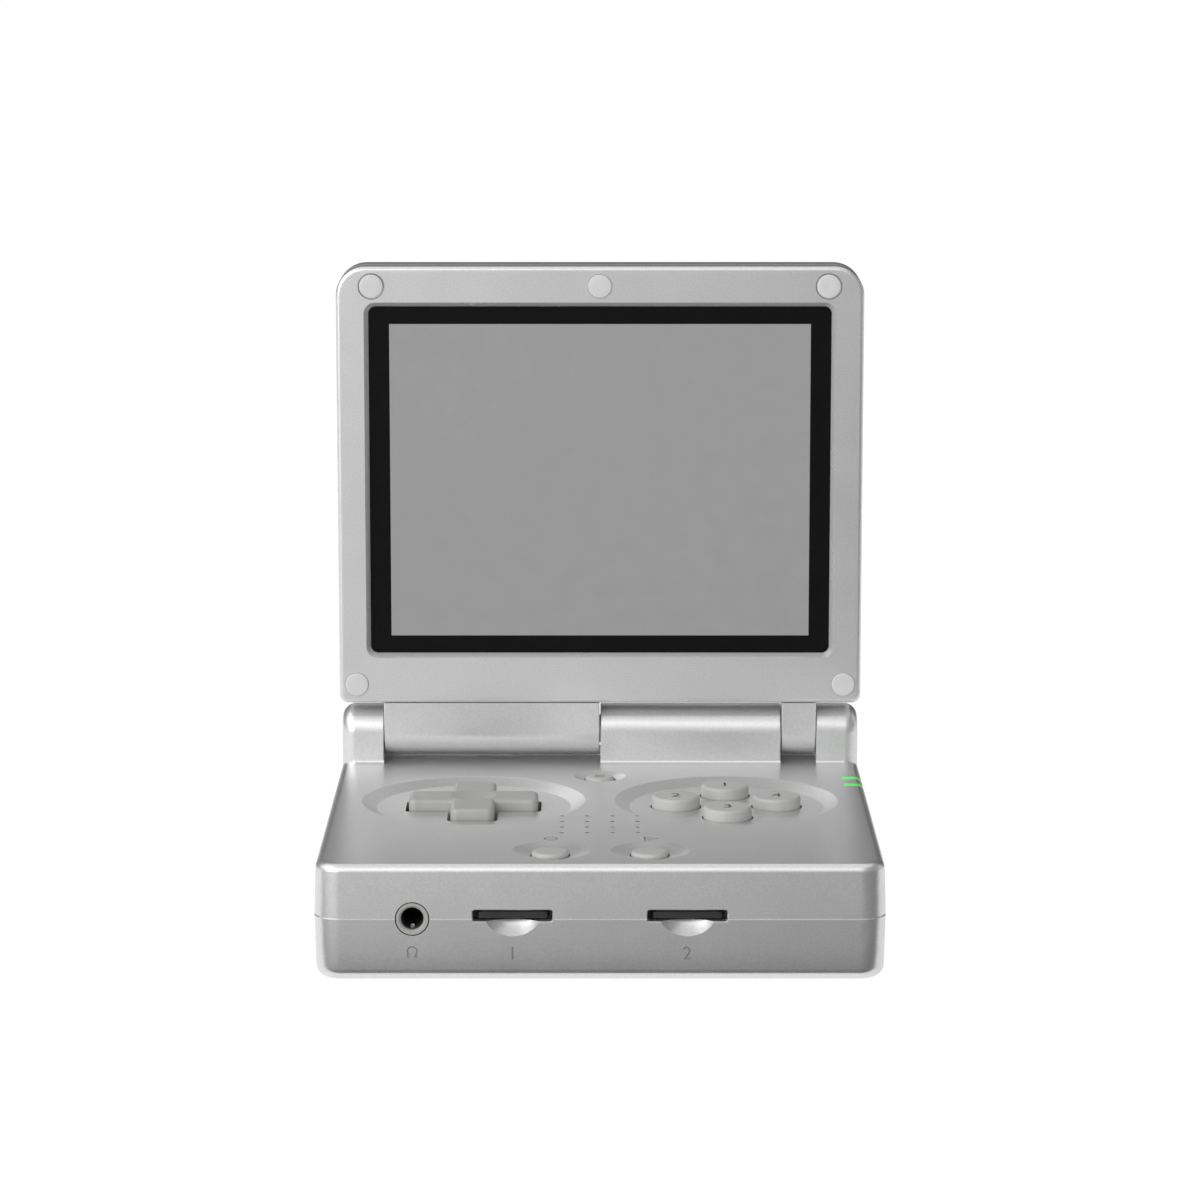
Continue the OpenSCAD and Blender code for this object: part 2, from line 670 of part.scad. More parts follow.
module base_top_shell() color(paint) difference() {
    union() {
        dished_top();
        hinge_mass();
        at(case_screw_at, seam_z + fit_gap) cylinder(r = post_r, h = inner_top - seam_z);
        at(board_screw_at, board_top + fit_gap) cylinder(r = board_post_r, h = inner_top - board_top);
    }
    control_holes();
    sound_holes();
    light_room(fit_gap);
    seam_openings();
    hinge_bores();
    screw_room = screw_tip + 0.3;
    at(case_screw_at, seam_z) cylinder(r = screw_r + fit_gap, h = screw_room - seam_z);
    at(board_screw_at, board_top) cylinder(r = board_screw_r + fit_gap, h = screw_room - board_top);
}
module base_bottom_shell() color(paint) {
    difference() {
        union() {
            difference() {
                case_form(low_profile);
                case_room(wall, seam_z + 1);
            }
            translate([0, bay_y, eps])
                rounded_block(cover_w + 2 * bay_wall, cover_l + 2 * bay_wall, bay_floor, 3);
            translate([0, bay_y, bay_floor - eps])
                rounded_block(bay_w + 2 * bay_wall, bay_l + 2 * bay_wall, battery_t - 1, 1.5);
            // Thicker wall behind each finger scoop
            for (x = [-slot_x, slot_x])
                translate([x - scoop_w / 2 - 1, front_y + wall, slot_z - scoop_h - 1.2])
                cube([scoop_w + 2, side_lean + scoop_back, scoop_h + 1.5]);
            at(case_screw_at, wall - eps) cylinder(r = foot_r, h = seam_z - wall - fit_gap);
            at(cover_screw_at, wall - eps) cylinder(r = 2, h = 4);
        }
        translate([0, bay_y, -1])
            rounded_block(cover_w + 2 * fit_gap, cover_l + 2 * fit_gap, cover_t + fit_gap + 1, 3 + fit_gap);
        translate([0, bay_y, 0]) rounded_block(bay_w, bay_l, seam_z, 1);
        for (x = [-slot_x, slot_x]) translate([x, front_y - scoop_out, slot_z - scoop_h + scoop_r])
            sphere(scoop_ball, $fn = 96);
        seam_openings();
        at(case_screw_at, -1) cylinder(r = head_r + 0.2, h = sink_depth + 1);
        at(case_screw_at, -1) cylinder(r = screw_r + fit_gap, h = seam_z + 2);
        at(cover_screw_at, -1) cylinder(r = screw_r + fit_gap, h = 6.2);
    }
}
module battery_cover() color(paint) difference() {
    translate([0, bay_y, 0]) rounded_block(cover_w, cover_l, cover_t, 3);
    at(cover_screw_at, -1) cylinder(r = head_r + 0.1, h = 2);
    at(cover_screw_at, 0) cylinder(r = screw_r + fit_gap, h = cover_t + 1);
}
module battery() color("dimgray") {
    translate([0, bay_y, cover_t + flange_gap]) rounded_block(battery_w, battery_l, battery_t, 1.5);
}
module main_board() color("darkgreen") difference() {
    translate([0, board_mid, board_z]) rounded_block(2 * board_half_w, board_l, board_t, 2);
    at(case_screw_at, board_z - 1) cylinder(r = post_r + 0.3, h = board_t + 2);
    at(board_screw_at, board_z - 1) cylinder(r = board_screw_r + fit_gap, h = board_t + 2);
    translate([-jack_x, front_y + jack_len / 2, board_z - 1])
        block(jack_body_w + 0.4, jack_len + 8, board_t + 2);
}
module processor_shield() color("silver") {
    translate([0, bay_y + 6, board_z - fit_gap - shield_t]) rounded_block(shield_w, shield_w, shield_t, 1);
}
// Open to the front, with room behind the card so that it can be pushed in
module card_socket(x) color(dark) {
    mouth_l = card_front + card_l + card_push + 0.2 - socket_front;
    translate([x - slot_w / 2 - 0.7, socket_front, board_z - fit_gap - socket_t]) difference() {
        cube([slot_w + 1.4, mouth_l + 0.8, socket_t]);
        translate([slot_w / 2 + 0.7 - card_w / 2 - 0.15, -1, card_low - 0.1])
            cube([card_w + 0.3, mouth_l + 1, card_t + 0.2]);
    }
}
module memory_card(x) color(dark) {
    translate([x, card_front + card_l / 2, board_z - fit_gap - socket_t + card_low])
        rounded_block(card_w, card_l, card_t, 0.6);
}
module headphone_jack() color([0.6, 0.6, 0.58]) {
    difference() {
        union() {
            translate([-jack_x, front_y + jack_len, jack_z]) rotate([90, 0, 0])
                cylinder(r = jack_ring_r, h = jack_len - fit_gap);
            translate([-jack_x, front_y + 2 * wall + jack_body_l / 2, jack_z - jack_body_h / 2])
                block(jack_body_w, jack_body_l, jack_body_h);
        }
        translate([-jack_x, front_y + jack_len, jack_z]) rotate([90, 0, 0])
            cylinder(r = jack_r, h = jack_len + 1);
    }
}
// Metal socket with a tongue in the middle, open to the back
module rear_socket(x, w, r) color(steel) translate([x, back_y - 0.4, port_z]) rotate([90, 0, 0]) {
    difference() {
        linear_extrude(port_l) rounded_square(w - 2 * fit_gap, usb_h - 2 * fit_gap, r - fit_gap);
        translate([0, 0, -1]) linear_extrude(port_l - 1)
            rounded_square(w - 2 * port_skin, usb_h - 2 * port_skin, r - port_skin);
    }
    translate([0, 0, 1]) linear_extrude(port_l - 2.6) square([w - 2.4, 0.7], center = true);
}
module usb_socket() rear_socket(-port_x, usb_w, usb_h / 2 - eps);
module video_socket() rear_socket(port_x, video_w, 0.8);
module speaker() color(dark) {
    translate([0, front_y + sound_front, board_top + fit_gap]) difference() {
        rounded_block(speaker_w, speaker_l, dish_under - board_top - 3 * fit_gap, 1.5);
        translate([0, 0, speaker_back])
            cylinder(r1 = 3, r2 = speaker_l / 2 - 0.9, h = dish_under - board_top);
    }
}
module vibration_motor() color("silver") {
    translate([motor_r + fit_gap + 0.5 - side_switch_in, -6, board_z - fit_gap - motor_r])
        rotate([90, 0, 0]) cylinder(r = motor_r, h = motor_l);
}
// Rubber sheets with domes under the buttons, each dome as it stands when pressed down
module membrane_sheet(w, d) {
    translate([0, 0, board_top + fit_gap]) rounded_block(w, d, sheet_t, 1.5);
}
module dome(r, top) {
    translate([0, 0, board_top + fit_gap]) cylinder(r1 = r, r2 = 0.7 * r, h = top - board_top - fit_gap);
}
module dpad_membrane() color(rubber_grey) translate([-dish_x, dish_y, 0]) {
    membrane_sheet(dpad_flange_d + 1, dpad_flange_d + 1);
    for (a = [0 : 90 : 270]) rotate(a) translate([dpad_dome_at, 0, 0]) dome(dpad_dome_r, dpad_dome_top);
}
module face_button_membrane() color(rubber_grey) translate([dish_x, dish_y, 0]) {
    sheet_w = 2 * face_ring + face_d + 0.5;
    membrane_sheet(sheet_w, sheet_w);
    for (a = [0 : 90 : 270]) rotate(a) translate([face_ring, 0, 0]) dome(0.33 * face_d, dome_top);
}
module start_membrane() color(rubber_grey) translate([0, start_y, 0]) {
    membrane_sheet(2 * start_x + start_d + 1.2, start_d - 0.8);
    for (x = [-start_x, start_x]) translate([x, 0, 0]) dome(0.33 * start_d, dome_top);
}
module menu_membrane() color(rubber_grey) translate([0, menu_y, 0]) {
    membrane_sheet(menu_d + 2, menu_d + 1);
    dome(0.33 * menu_d, dome_top);
}
module shoulder_switches() color(dark) for (s = shoulder_at) {
    y = board_back + 0.6;
    tip = shoulder_flange_y - flange_t - shoulder_press - flange_gap / 2;
    translate([s[0], y, board_z - fit_gap - 3.5]) block(6, 5.8, 3.5);
    translate([s[0], y, board_z - fit_gap - 1.7]) rotate([-90, 0, 0]) cylinder(r = 1.2, h = tip - y);
}
module side_switch(y, tip) translate([side_switch_in, y, board_z - fit_gap - side_switch_h]) {
    translate([0, -1.7, 0]) cube([side_switch_w, 3.4, side_switch_h]);
    translate([1, 0, side_switch_h / 2]) rotate([0, 90, 0]) cylinder(r = 0.7, h = tip - side_switch_in - 1);
}
module side_switches() color(dark) {
    for (s = [-1, 1]) mirror([1, 0, 0]) side_switch(rocker_y + s * (rocker_len / 2 - 1.5), rocker_tip);
    side_switch(power_y, key_tip);
    side_switch(reset_y, key_tip);
}
module light_strips() color("lime") {
    intersection() {
        difference() {
            case_form(high_profile);
            case_room(seam_z - 1, inner_top);
        }
        light_room(0);
    }
}
module screw(head, low, tip, shank) {
    translate([0, 0, low]) difference() {
        cylinder(r = head, h = head_t, $fn = 32);
        for (a = [0, 90]) rotate(a) translate([0, 0, -eps]) block(1.6 * head, 0.35, 0.4);
    }
    translate([0, 0, low + head_t - eps]) cylinder(r = shank, h = tip - low - head_t, $fn = 32);
}
module case_screws() color(steel) at(case_screw_at, 0) screw(head_r, sink_depth - head_t, screw_tip, screw_r);
module board_screws() color(steel) {
    at(board_screw_at, 0) screw(1.4, board_z - head_t - fit_gap, screw_tip, board_screw_r);
}
module cover_screws() color(steel) at(cover_screw_at, 0) screw(head_r, 0, 5, screw_r);
module hinge_cartridge() color(steel) at_axis() {
    along_x(short_in - barrel_gap - cartridge_len, short_in - barrel_gap, barrel_bore_r - fit_gap);
    along_x(short_in - barrel_gap - eps, lug_in + shaft_reach, pin_r);
}
module hinge_pin() color(steel) at_axis() along_x(-lug_in - shaft_reach, pin_l - lug_in - shaft_reach, pin_r);
// Rolled round the hinge axis, then down to a plug on the main board
module display_cable() color("orange") {
    at_axis() difference() {
        along_x(-cable_w - 2, cable_x + cable_w / 2 + 1, cable_roll_r);
        along_x(-cable_w - 3, cable_x + cable_w / 2 + 2, cable_roll_r - 0.25);
    }
    plug_y = board_back - 3;
    low = board_top + 0.5;
    translate([cable_x, axis_y, low]) block(cable_w, 0.2, axis_z - cable_roll_r + 0.1 - low);
    translate([cable_x - cable_w / 2, plug_y, low]) cube([cable_w, axis_y + 0.1 - plug_y, 0.2]);
    translate([cable_x, plug_y, board_top + fit_gap]) block(cable_w + 1, 3, 1.1);
}

// Lid
module lid_form(profile) {
    mid = (lid_start + lid_len) / 2;
    translate([0, mid, 0]) {
        half_pillow(case_w, lid_len - mid, lid_corner_r, profile);
        mirror([0, 1, 0]) half_pillow(case_w, mid - lid_start, lid_foot_r, profile);
    }
}
module lid_room(low, high) {
    l = lid_len - lid_start - 2 * lid_wall;
    translate([0, (lid_start + lid_len) / 2, low])
        rounded_block(case_w - 2 * lid_wall, l, high - low, lid_corner_r - lid_wall);
}
module lid_barrel(x0, x1) {
    rotate([90, 0, 0]) half_barrel(x0, x1);
    rotate([-90, 0, 0]) barrel_foot(x0, x1, lid_start - fit_gap);
    translate([x0, lid_start - 1, -barrel_r]) cube([x1 - x0, 1 + lid_back_r, lid_split + barrel_r - 1]);
}
module lid_back_shell() color(paint) in_lid() difference() {
    union() {
        difference() {
            lid_form(back_profile);
            lid_room(lid_wall - barrel_r, lid_split + 1);
        }
        lid_barrel(barrel_gap / 2 - lug_in, -barrel_gap / 2);
        lid_barrel(short_in + barrel_gap / 2, lug_in - barrel_gap / 2);
        at(lid_screw_at, 1 - barrel_r) cylinder(r = 1.9, h = lid_split + barrel_r - 1 - fit_gap);
    }
    along_x(-lug_in - 1, pin_l + 1 - lug_in - shaft_reach, pin_r + pin_play);
    along_x(-cable_bore_l, 1, barrel_bore_r);
    along_x(short_in - 1, lug_in + 1, pin_r + pin_play);
    // Way up for the display cable
    translate([-cable_w - 1, 0, -1]) cube([cable_w - 2, lid_start + lid_wall + 1, 2]);
    at(lid_screw_at, 1 - barrel_r) cylinder(r = board_screw_r + fit_gap, h = 2 * barrel_r);
}
module lid_bezel() color(paint) in_lid() difference() {
    union() {
        difference() {
            lid_form(bezel_profile);
            lid_room(lid_split - 1, lid_face - bezel_skin);
        }
        at(bumper_at, lid_split) cylinder(r = bumper_d / 2 + 0.6, h = bezel_t - bezel_skin + eps);
    }
    translate([0, screen_at, 0]) pillow(glass_w + 2 * fit_gap, glass_h + 2 * fit_gap, glass_corner_r,
        [[0, lid_split - 1], [0, glass_top], [-glass_rim, lid_face], [-glass_rim, lid_face + 1]]);
    for (b = bumper_at) translate([b[0], b[1], lid_face - bumper_deep])
        cylinder(r = bumper_d / 2 + b[2], h = bumper_deep + 1);
    at(lid_screw_at, lid_split - 1) cylinder(r = board_screw_r + fit_gap, h = bezel_t);
    at(lid_screw_at, lid_head_z - 0.1) cylinder(r = lid_head_r + 0.1, h = 2);
}
module display_panel() color("dimgray") in_lid() translate([0, screen_at, panel_top - panel_t]) {
    rounded_block(screen_w + 2 * panel_margin, screen_h + 2 * panel_margin, panel_t, 1);
}
module screen_glass() color([0.3, 0.3, 0.3]) in_lid() translate([0, screen_at, glass_top - glass_t]) {
    rounded_block(glass_w, glass_h, glass_t, glass_corner_r);
}
module lid_bumpers() color("white") in_lid() for (b = bumper_at) {
    translate([b[0], b[1], lid_face - bumper_deep + fit_gap])
        cylinder(d = bumper_d, h = bumper_deep + bumper_proud - fit_gap);
}
module lid_screws() color(steel) in_lid() {
    at(lid_screw_at, lid_head_z) cylinder(r = lid_head_r, h = 0.7, $fn = 32);
    at(lid_screw_at, 2 - barrel_r) cylinder(r = board_screw_r, h = lid_head_z + barrel_r - 1.8, $fn = 32);
}
module lid_magnet() color(steel) in_lid() {
    translate([half_w - lid_wall - 3.4, screen_at - 24, lid_wall - barrel_r + fit_gap]) block(4, 8, 1.6);
}

// Buttons
// Round cap with a rounded rim and a flange that keeps it in the case
module round_button(d, top) color(button_grey) {
    rotate_extrude() polygon(concat([[0, flange_low], [d / 2, flange_low]],
        arc(d / 2 - 0.55, top - 0.55, 0.55, 0, 90), [[0, top]]));
    translate([0, 0, flange_low]) cylinder(r = d / 2 + flange_out, h = flange_t);
}
module face_button(angle) {
    translate([dish_x + face_ring * cos(angle), dish_y + face_ring * sin(angle), 0])
        round_button(face_d, dish_floor + face_proud);
}
module face_button_right() face_button(0);
module face_button_top() face_button(90);
module face_button_left() face_button(180);
module face_button_bottom() face_button(270);
module select_button() translate([-start_x, start_y, 0]) round_button(start_d, case_h);
module start_button() translate([start_x, start_y, 0]) round_button(start_d, case_h);
module menu_button() translate([0, menu_y, 0]) round_button(menu_d, case_h);
// The direction pad rocks on the ball of this stub
module dpad_pivot() color(rubber_grey) translate([-dish_x, dish_y, 0]) {
    low = board_top + fit_gap + sheet_t + 0.17;
    translate([0, 0, low]) cylinder(r = 0.8 * pivot_r, h = rock_z - low);
    translate([0, 0, rock_z]) sphere(pivot_r);
}
module dpad() color(button_grey) translate([-dish_x, dish_y, 0]) {
    top = dish_floor + dpad_proud;
    ball_r = 14;
    difference() {
        for (a = [0, 90]) rotate(a) pillow(dpad_arm, dpad_span, 1.2, cap_profile(rock_z, top, 0.7));
        translate([0, 0, top + ball_r - 0.5]) sphere(ball_r, $fn = 96);
        translate([0, 0, rock_z]) sphere(pivot_r + fit_gap);
    }
    translate([0, 0, rock_z]) difference() {
        cylinder(d = dpad_flange_d, h = dpad_flange_t);
        sphere(pivot_r + fit_gap);
    }
}
// Cap in the back wall, pressed forwards
module shoulder_button(s) color(button_grey) translate([s[0], 0, shoulder_z]) {
    translate([0, back_y + shoulder_proud, 0]) rotate([90, 0, 0])
        pillow(s[1], shoulder_h, 1.5, [[0.5, 0], [0.15, 0.15], [0, 0.5],
            [0, back_y + shoulder_proud - shoulder_flange_y + flange_t / 2]]);
    // The flange stands out above and below only, because the two caps lie side by side
    translate([0, shoulder_flange_y, 0]) rotate([90, 0, 0])
        linear_extrude(flange_t) rounded_square(s[1], shoulder_h + 2 * flange_out, 1.5);
}
module shoulder_left_outer() shoulder_button(shoulder_at[0]);
module shoulder_left_inner() shoulder_button(shoulder_at[1]);
module shoulder_right_inner() shoulder_button(shoulder_at[2]);
module shoulder_right_outer() shoulder_button(shoulder_at[3]);
// Key in the right-hand wall, with its long side along y and its inner face at back
module side_key(y, length, back) color(button_grey) translate([back, y, seam_z]) rotate([0, 90, 0]) {
    linear_extrude(half_w + side_proud - back) rounded_square(side_h, length, side_h / 2 - eps);
    linear_extrude(flange_t)
        rounded_square(side_h + 2 * flange_out, length + 2 * flange_out, side_h / 2);
}
module volume_rocker() mirror([1, 0, 0]) side_key(rocker_y, rocker_len, rocker_back);
module power_button() side_key(power_y, power_len, key_back);
module reset_button() side_key(reset_y, side_h, key_back);
module memory_card_left() memory_card(-slot_x);
module memory_card_right() memory_card(slot_x);
module card_socket_left() card_socket(-slot_x);
module card_socket_right() card_socket(slot_x);

base_top_shell();
base_bottom_shell();
battery_cover();
battery();
main_board();
processor_shield();
card_socket_left();
card_socket_right();
headphone_jack();
usb_socket();
video_socket();
speaker();
vibration_motor();
dpad_membrane();
face_button_membrane();
start_membrane();
menu_membrane();
shoulder_switches();
side_switches();
light_strips();
case_screws();
board_screws();
cover_screws();
hinge_cartridge();
hinge_pin();
display_cable();
lid_back_shell();
lid_bezel();
display_panel();
screen_glass();
lid_bumpers();
lid_screws();
lid_magnet();
dpad_pivot();
dpad();
face_button_top();
face_button_left();
face_button_right();
face_button_bottom();
select_button();
start_button();
menu_button();
shoulder_left_outer();
shoulder_left_inner();
shoulder_right_inner();
shoulder_right_outer();
volume_rocker();
power_button();
reset_button();
memory_card_left();
memory_card_right();
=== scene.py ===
"""Looks of a clamshell handheld game console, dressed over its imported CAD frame. Metres, +Z up."""

import json
from math import cos, pi, radians, sin

import bmesh
import bpy
from mathutils import Matrix, Vector
from mathutils.bvhtree import BVHTree

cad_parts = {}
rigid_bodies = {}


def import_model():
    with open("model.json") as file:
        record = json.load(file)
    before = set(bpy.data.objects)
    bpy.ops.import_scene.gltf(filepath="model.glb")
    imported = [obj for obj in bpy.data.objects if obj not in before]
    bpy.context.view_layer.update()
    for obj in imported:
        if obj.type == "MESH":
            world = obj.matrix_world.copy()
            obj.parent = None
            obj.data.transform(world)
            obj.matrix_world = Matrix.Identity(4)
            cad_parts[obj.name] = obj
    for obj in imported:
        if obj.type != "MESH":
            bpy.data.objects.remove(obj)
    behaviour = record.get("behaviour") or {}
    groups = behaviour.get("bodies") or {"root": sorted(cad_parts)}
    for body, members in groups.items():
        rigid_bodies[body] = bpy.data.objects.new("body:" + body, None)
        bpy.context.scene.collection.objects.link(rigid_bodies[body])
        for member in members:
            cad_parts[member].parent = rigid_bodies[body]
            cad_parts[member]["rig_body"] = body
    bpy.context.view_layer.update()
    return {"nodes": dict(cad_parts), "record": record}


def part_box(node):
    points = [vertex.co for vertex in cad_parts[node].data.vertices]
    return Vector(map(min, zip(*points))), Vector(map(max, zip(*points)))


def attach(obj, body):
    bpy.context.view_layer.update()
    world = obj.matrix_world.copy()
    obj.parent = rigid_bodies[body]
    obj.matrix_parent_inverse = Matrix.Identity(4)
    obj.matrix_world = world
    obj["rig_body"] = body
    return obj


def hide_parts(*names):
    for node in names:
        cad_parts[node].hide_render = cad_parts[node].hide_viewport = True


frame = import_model()

MM = 0.001

# Meshes: points closer than WELD are joined, edges sharper than an angle stay sharp, and FLAT_WEIGHT is how
# far large faces decide the shading of rounded edges. DIGIT_SHARE is a digit's height as a share of the
# font's size.
WELD = 0.002 * MM
SMOOTH_ANGLE = radians(32)
DPAD_SMOOTH_ANGLE = radians(14)
FLAT_WEIGHT = 80
DIGIT_SHARE = 0.7

# Camera, found from the photograph's edges: straight from the front and a little above
CAMERA_AT = Vector((0, -707.99, 176.11)) * MM
CAMERA_DOWN = radians(9.88)
LENS_MM = 132.62
SENSOR_MM = 36

# Studio, in metres and watts. The world and the floor light the console at one level and show at another:
# the world shows white, and the floor shows a glow with a little shade on it.
WHITE = (1, 1, 1, 1)
WORLD_LIGHT = 0.4
FLOOR_HALF = 6
FLOOR_PAPER = 0.8
FLOOR_SHADE = 0.3
FLOOR_GLOW = 0.9
LAMP_AIM = (0, 0, 0.03)
# Each lamp's name, place, width, height and power
LAMPS = (("front_softbox", (-0.10, -1.10, 0.80), 1.4, 0.6, 2.2),
         ("left_softbox", (-0.80, -1.00, 0.42), 1.2, 0.8, 7),
         ("high_softbox", (-0.95, -0.20, 0.85), 1.2, 1.0, 4))

# Reflection cards: a ring round the studio, one on the floor in front of the console, and one at its right.
# Each has (place, grey) pairs along x and along y.
RING_STEPS = 48
RING_RADIUS = 1.6
RING_Z = (0.002, 2.0)
RING_GREYS_X = ((-1.6, 0.8), (-0.6, 1.0), (0, 0.82), (0.6, 0.5), (1.6, 0.35))
RING_GREYS_Y = ((-1.6, 0.9), (0, 0.8), (0.8, 0.25), (1.6, 0.1))
FLOOR_CARD_HALF = 0.8
FLOOR_CARD_SPAN_Y = (-1.58, -0.0425)
FLOOR_CARD_Z = 0.0004
FLOOR_GREYS_X = ((-0.8, 0.9), (-0.12, 1.0), (0.12, 0.2), (0.4, 0.18), (0.8, 0.6))
# Along y the floor card falls to nearly black in the last centimetre before the console's front: a painted
# shadow of the console on the floor, seen only in reflections
FLOOR_GREYS_Y = ((-1.6, 0.72), (-0.7, 0.65), (-0.4, 0.65), (-0.2, 0.9), (-0.14, 0.85), (-0.11, 0.5),
                 (-0.056, 0.52), (-0.047, 0.1), (-0.0425, 0.05))
SIDE_CARD_X = 1.25
SIDE_CARD_SPAN_Y = (0.2, 0.8)
SIDE_CARD_SPAN_Z = (0.01, 0.9)
SIDE_GREYS_X = ((1, 0.85), (1.5, 0.85))
SIDE_GREYS_Y = ((0.2, 1), (0.8, 1))

# Noise scales, in features per metre
CLOUDS = 120
MOTTLE = 260
FINE = 900
FLAKES = 3600
PAINT_GRAIN = 2600

# How noise is squeezed along x, y and z, and the range that most of its values keep to
BRUSHED = (1, 1, 12)
TRACES = (1, 5, 1)
NOISE_RANGE = (0.3, 0.7)

# Picture area of the screen: a 3.5 inch panel of shape 4:3
PICTURE_W = 71.12 * MM
PICTURE_H = 53.34 * MM


def grey(level):
    return (level, level, level)


# ---- Camera, lamps, floor ----

def add_camera():
    data = bpy.data.cameras.new("camera")
    data.lens = LENS_MM
    data.sensor_width = SENSOR_MM
    camera = bpy.data.objects.new("camera", data)
    camera.location = CAMERA_AT
    camera.rotation_euler = (pi / 2 - CAMERA_DOWN, 0, 0)
    bpy.context.scene.collection.objects.link(camera)
    bpy.context.scene.camera = camera


def add_softbox(name, at, width, height, power):
    """A rectangular lamp at a place, turned to the console."""
    data = bpy.data.lights.new(name, "AREA")
    data.shape = "RECTANGLE"
    data.size = width
    data.size_y = height
    data.energy = power
    lamp = bpy.data.objects.new(name, data)
    lamp.location = at
    lamp.rotation_euler = (Vector(LAMP_AIM) - Vector(at)).to_track_quat("-Z", "Y").to_euler()
    lamp.visible_camera = False
    bpy.context.scene.collection.objects.link(lamp)


def seen_directly(tree):
    """1 for camera, glossy and transmission rays, else 0."""
    path = tree.nodes.new("ShaderNodeLightPath")
    first = tree.nodes.new("ShaderNodeMath")
    first.operation = "MAXIMUM"
    tree.links.new(path.outputs["Is Camera Ray"], first.inputs[0])
    tree.links.new(path.outputs["Is Glossy Ray"], first.inputs[1])
    second = tree.nodes.new("ShaderNodeMath")
    second.operation = "MAXIMUM"
    tree.links.new(first.outputs[0], second.inputs[0])
    tree.links.new(path.outputs["Is Transmission Ray"], second.inputs[1])
    return second.outputs[0]


def add_world():
    """A white background that lights the console at a lower level than it shows."""
    world = bpy.data.worlds.new("studio")
    world.use_nodes = True
    tree = world.node_tree
    lit = tree.nodes["Background"]
    lit.inputs["Color"].default_value = WHITE
    lit.inputs["Strength"].default_value = WORLD_LIGHT
    white = tree.nodes.new("ShaderNodeBackground")
    white.inputs["Color"].default_value = WHITE
    white.inputs["Strength"].default_value = 1
    mix = tree.nodes.new("ShaderNodeMixShader")
    tree.links.new(seen_directly(tree), mix.inputs[0])
    tree.links.new(lit.outputs[0], mix.inputs[1])
    tree.links.new(white.outputs[0], mix.inputs[2])
    tree.links.new(mix.outputs[0], tree.nodes["World Output"].inputs["Surface"])
    bpy.context.scene.world = world


def add_floor():
    """A plain pale floor that shows as white and keeps the console's shadow."""
    mesh = bpy.data.meshes.new("floor")
    corners = [(x * FLOOR_HALF, y * FLOOR_HALF, 0) for x, y in ((-1, -1), (1, -1), (1, 1), (-1, 1))]
    mesh.from_pydata(corners, [], [(0, 1, 2, 3)])
    floor = bpy.data.objects.new("floor", mesh)
    bpy.context.scene.collection.objects.link(floor)
    material = bpy.data.materials.new("floor_paper")
    material.use_nodes = True
    tree = material.node_tree
    tree.nodes.remove(tree.nodes["Principled BSDF"])
    paper = tree.nodes.new("ShaderNodeBsdfDiffuse")
    paper.inputs["Color"].default_value = (*grey(FLOOR_PAPER), 1)
    shaded = tree.nodes.new("ShaderNodeBsdfDiffuse")
    shaded.inputs["Color"].default_value = (*grey(FLOOR_SHADE), 1)
    glow = tree.nodes.new("ShaderNodeEmission")
    glow.inputs["Strength"].default_value = FLOOR_GLOW
    both = tree.nodes.new("ShaderNodeAddShader")
    tree.links.new(shaded.outputs[0], both.inputs[0])
    tree.links.new(glow.outputs[0], both.inputs[1])
    mix = tree.nodes.new("ShaderNodeMixShader")
    tree.links.new(seen_directly(tree), mix.inputs[0])
    tree.links.new(paper.outputs[0], mix.inputs[1])
    tree.links.new(both.outputs[0], mix.inputs[2])
    tree.links.new(mix.outputs[0], tree.nodes["Material Output"].inputs["Surface"])
    material.cycles.emission_sampling = "NONE"
    mesh.materials.append(material)


def card(name, points, faces, greys_x, greys_y):
    """A grey card that only reflections show, so that the silver gets its gradients.
    Its greys are (place, grey) pairs along x and along y, and the two multiply."""
    mesh = bpy.data.meshes.new(name)
    mesh.from_pydata(points, [], faces)
    piece = bpy.data.objects.new(name, mesh)
    bpy.context.scene.collection.objects.link(piece)
    for kind in ("camera", "diffuse", "transmission", "volume_scatter", "shadow"):
        setattr(piece, "visible_" + kind, False)
    material = bpy.data.materials.new(name)
    material.use_nodes = True
    tree = material.node_tree
    tree.nodes.remove(tree.nodes["Principled BSDF"])
    place = tree.nodes.new("ShaderNodeTexCoord")
    parts = tree.nodes.new("ShaderNodeSeparateXYZ")
    tree.links.new(place.outputs["Object"], parts.inputs[0])
    product = tree.nodes.new("ShaderNodeMix")
    product.data_type = "RGBA"
    product.blend_type = "MULTIPLY"
    product.inputs["Factor"].default_value = 1
    for axis, greys, socket in (("X", greys_x, "A"), ("Y", greys_y, "B")):
        first, last = greys[0][0], greys[-1][0]
        span = tree.nodes.new("ShaderNodeMapRange")
        span.inputs["From Min"].default_value = first
        span.inputs["From Max"].default_value = last
        tree.links.new(parts.outputs[axis], span.inputs["Value"])
        ramp = tree.nodes.new("ShaderNodeValToRGB")
        stops = ramp.color_ramp.elements
        while len(stops) < len(greys):
            stops.new(0.5)
        for i, (at, level) in enumerate(greys):
            stops[i].position = (at - first) / (last - first)
            stops[i].color = (*grey(level), 1)
        tree.links.new(span.outputs[0], ramp.inputs["Fac"])
        tree.links.new(ramp.outputs["Color"], product.inputs[socket])
    glow = tree.nodes.new("ShaderNodeEmission")
    tree.links.new(product.outputs["Result"], glow.inputs["Color"])
    tree.links.new(glow.outputs[0], tree.nodes["Material Output"].inputs["Surface"])
    material.cycles.emission_sampling = "NONE"
    mesh.materials.append(material)


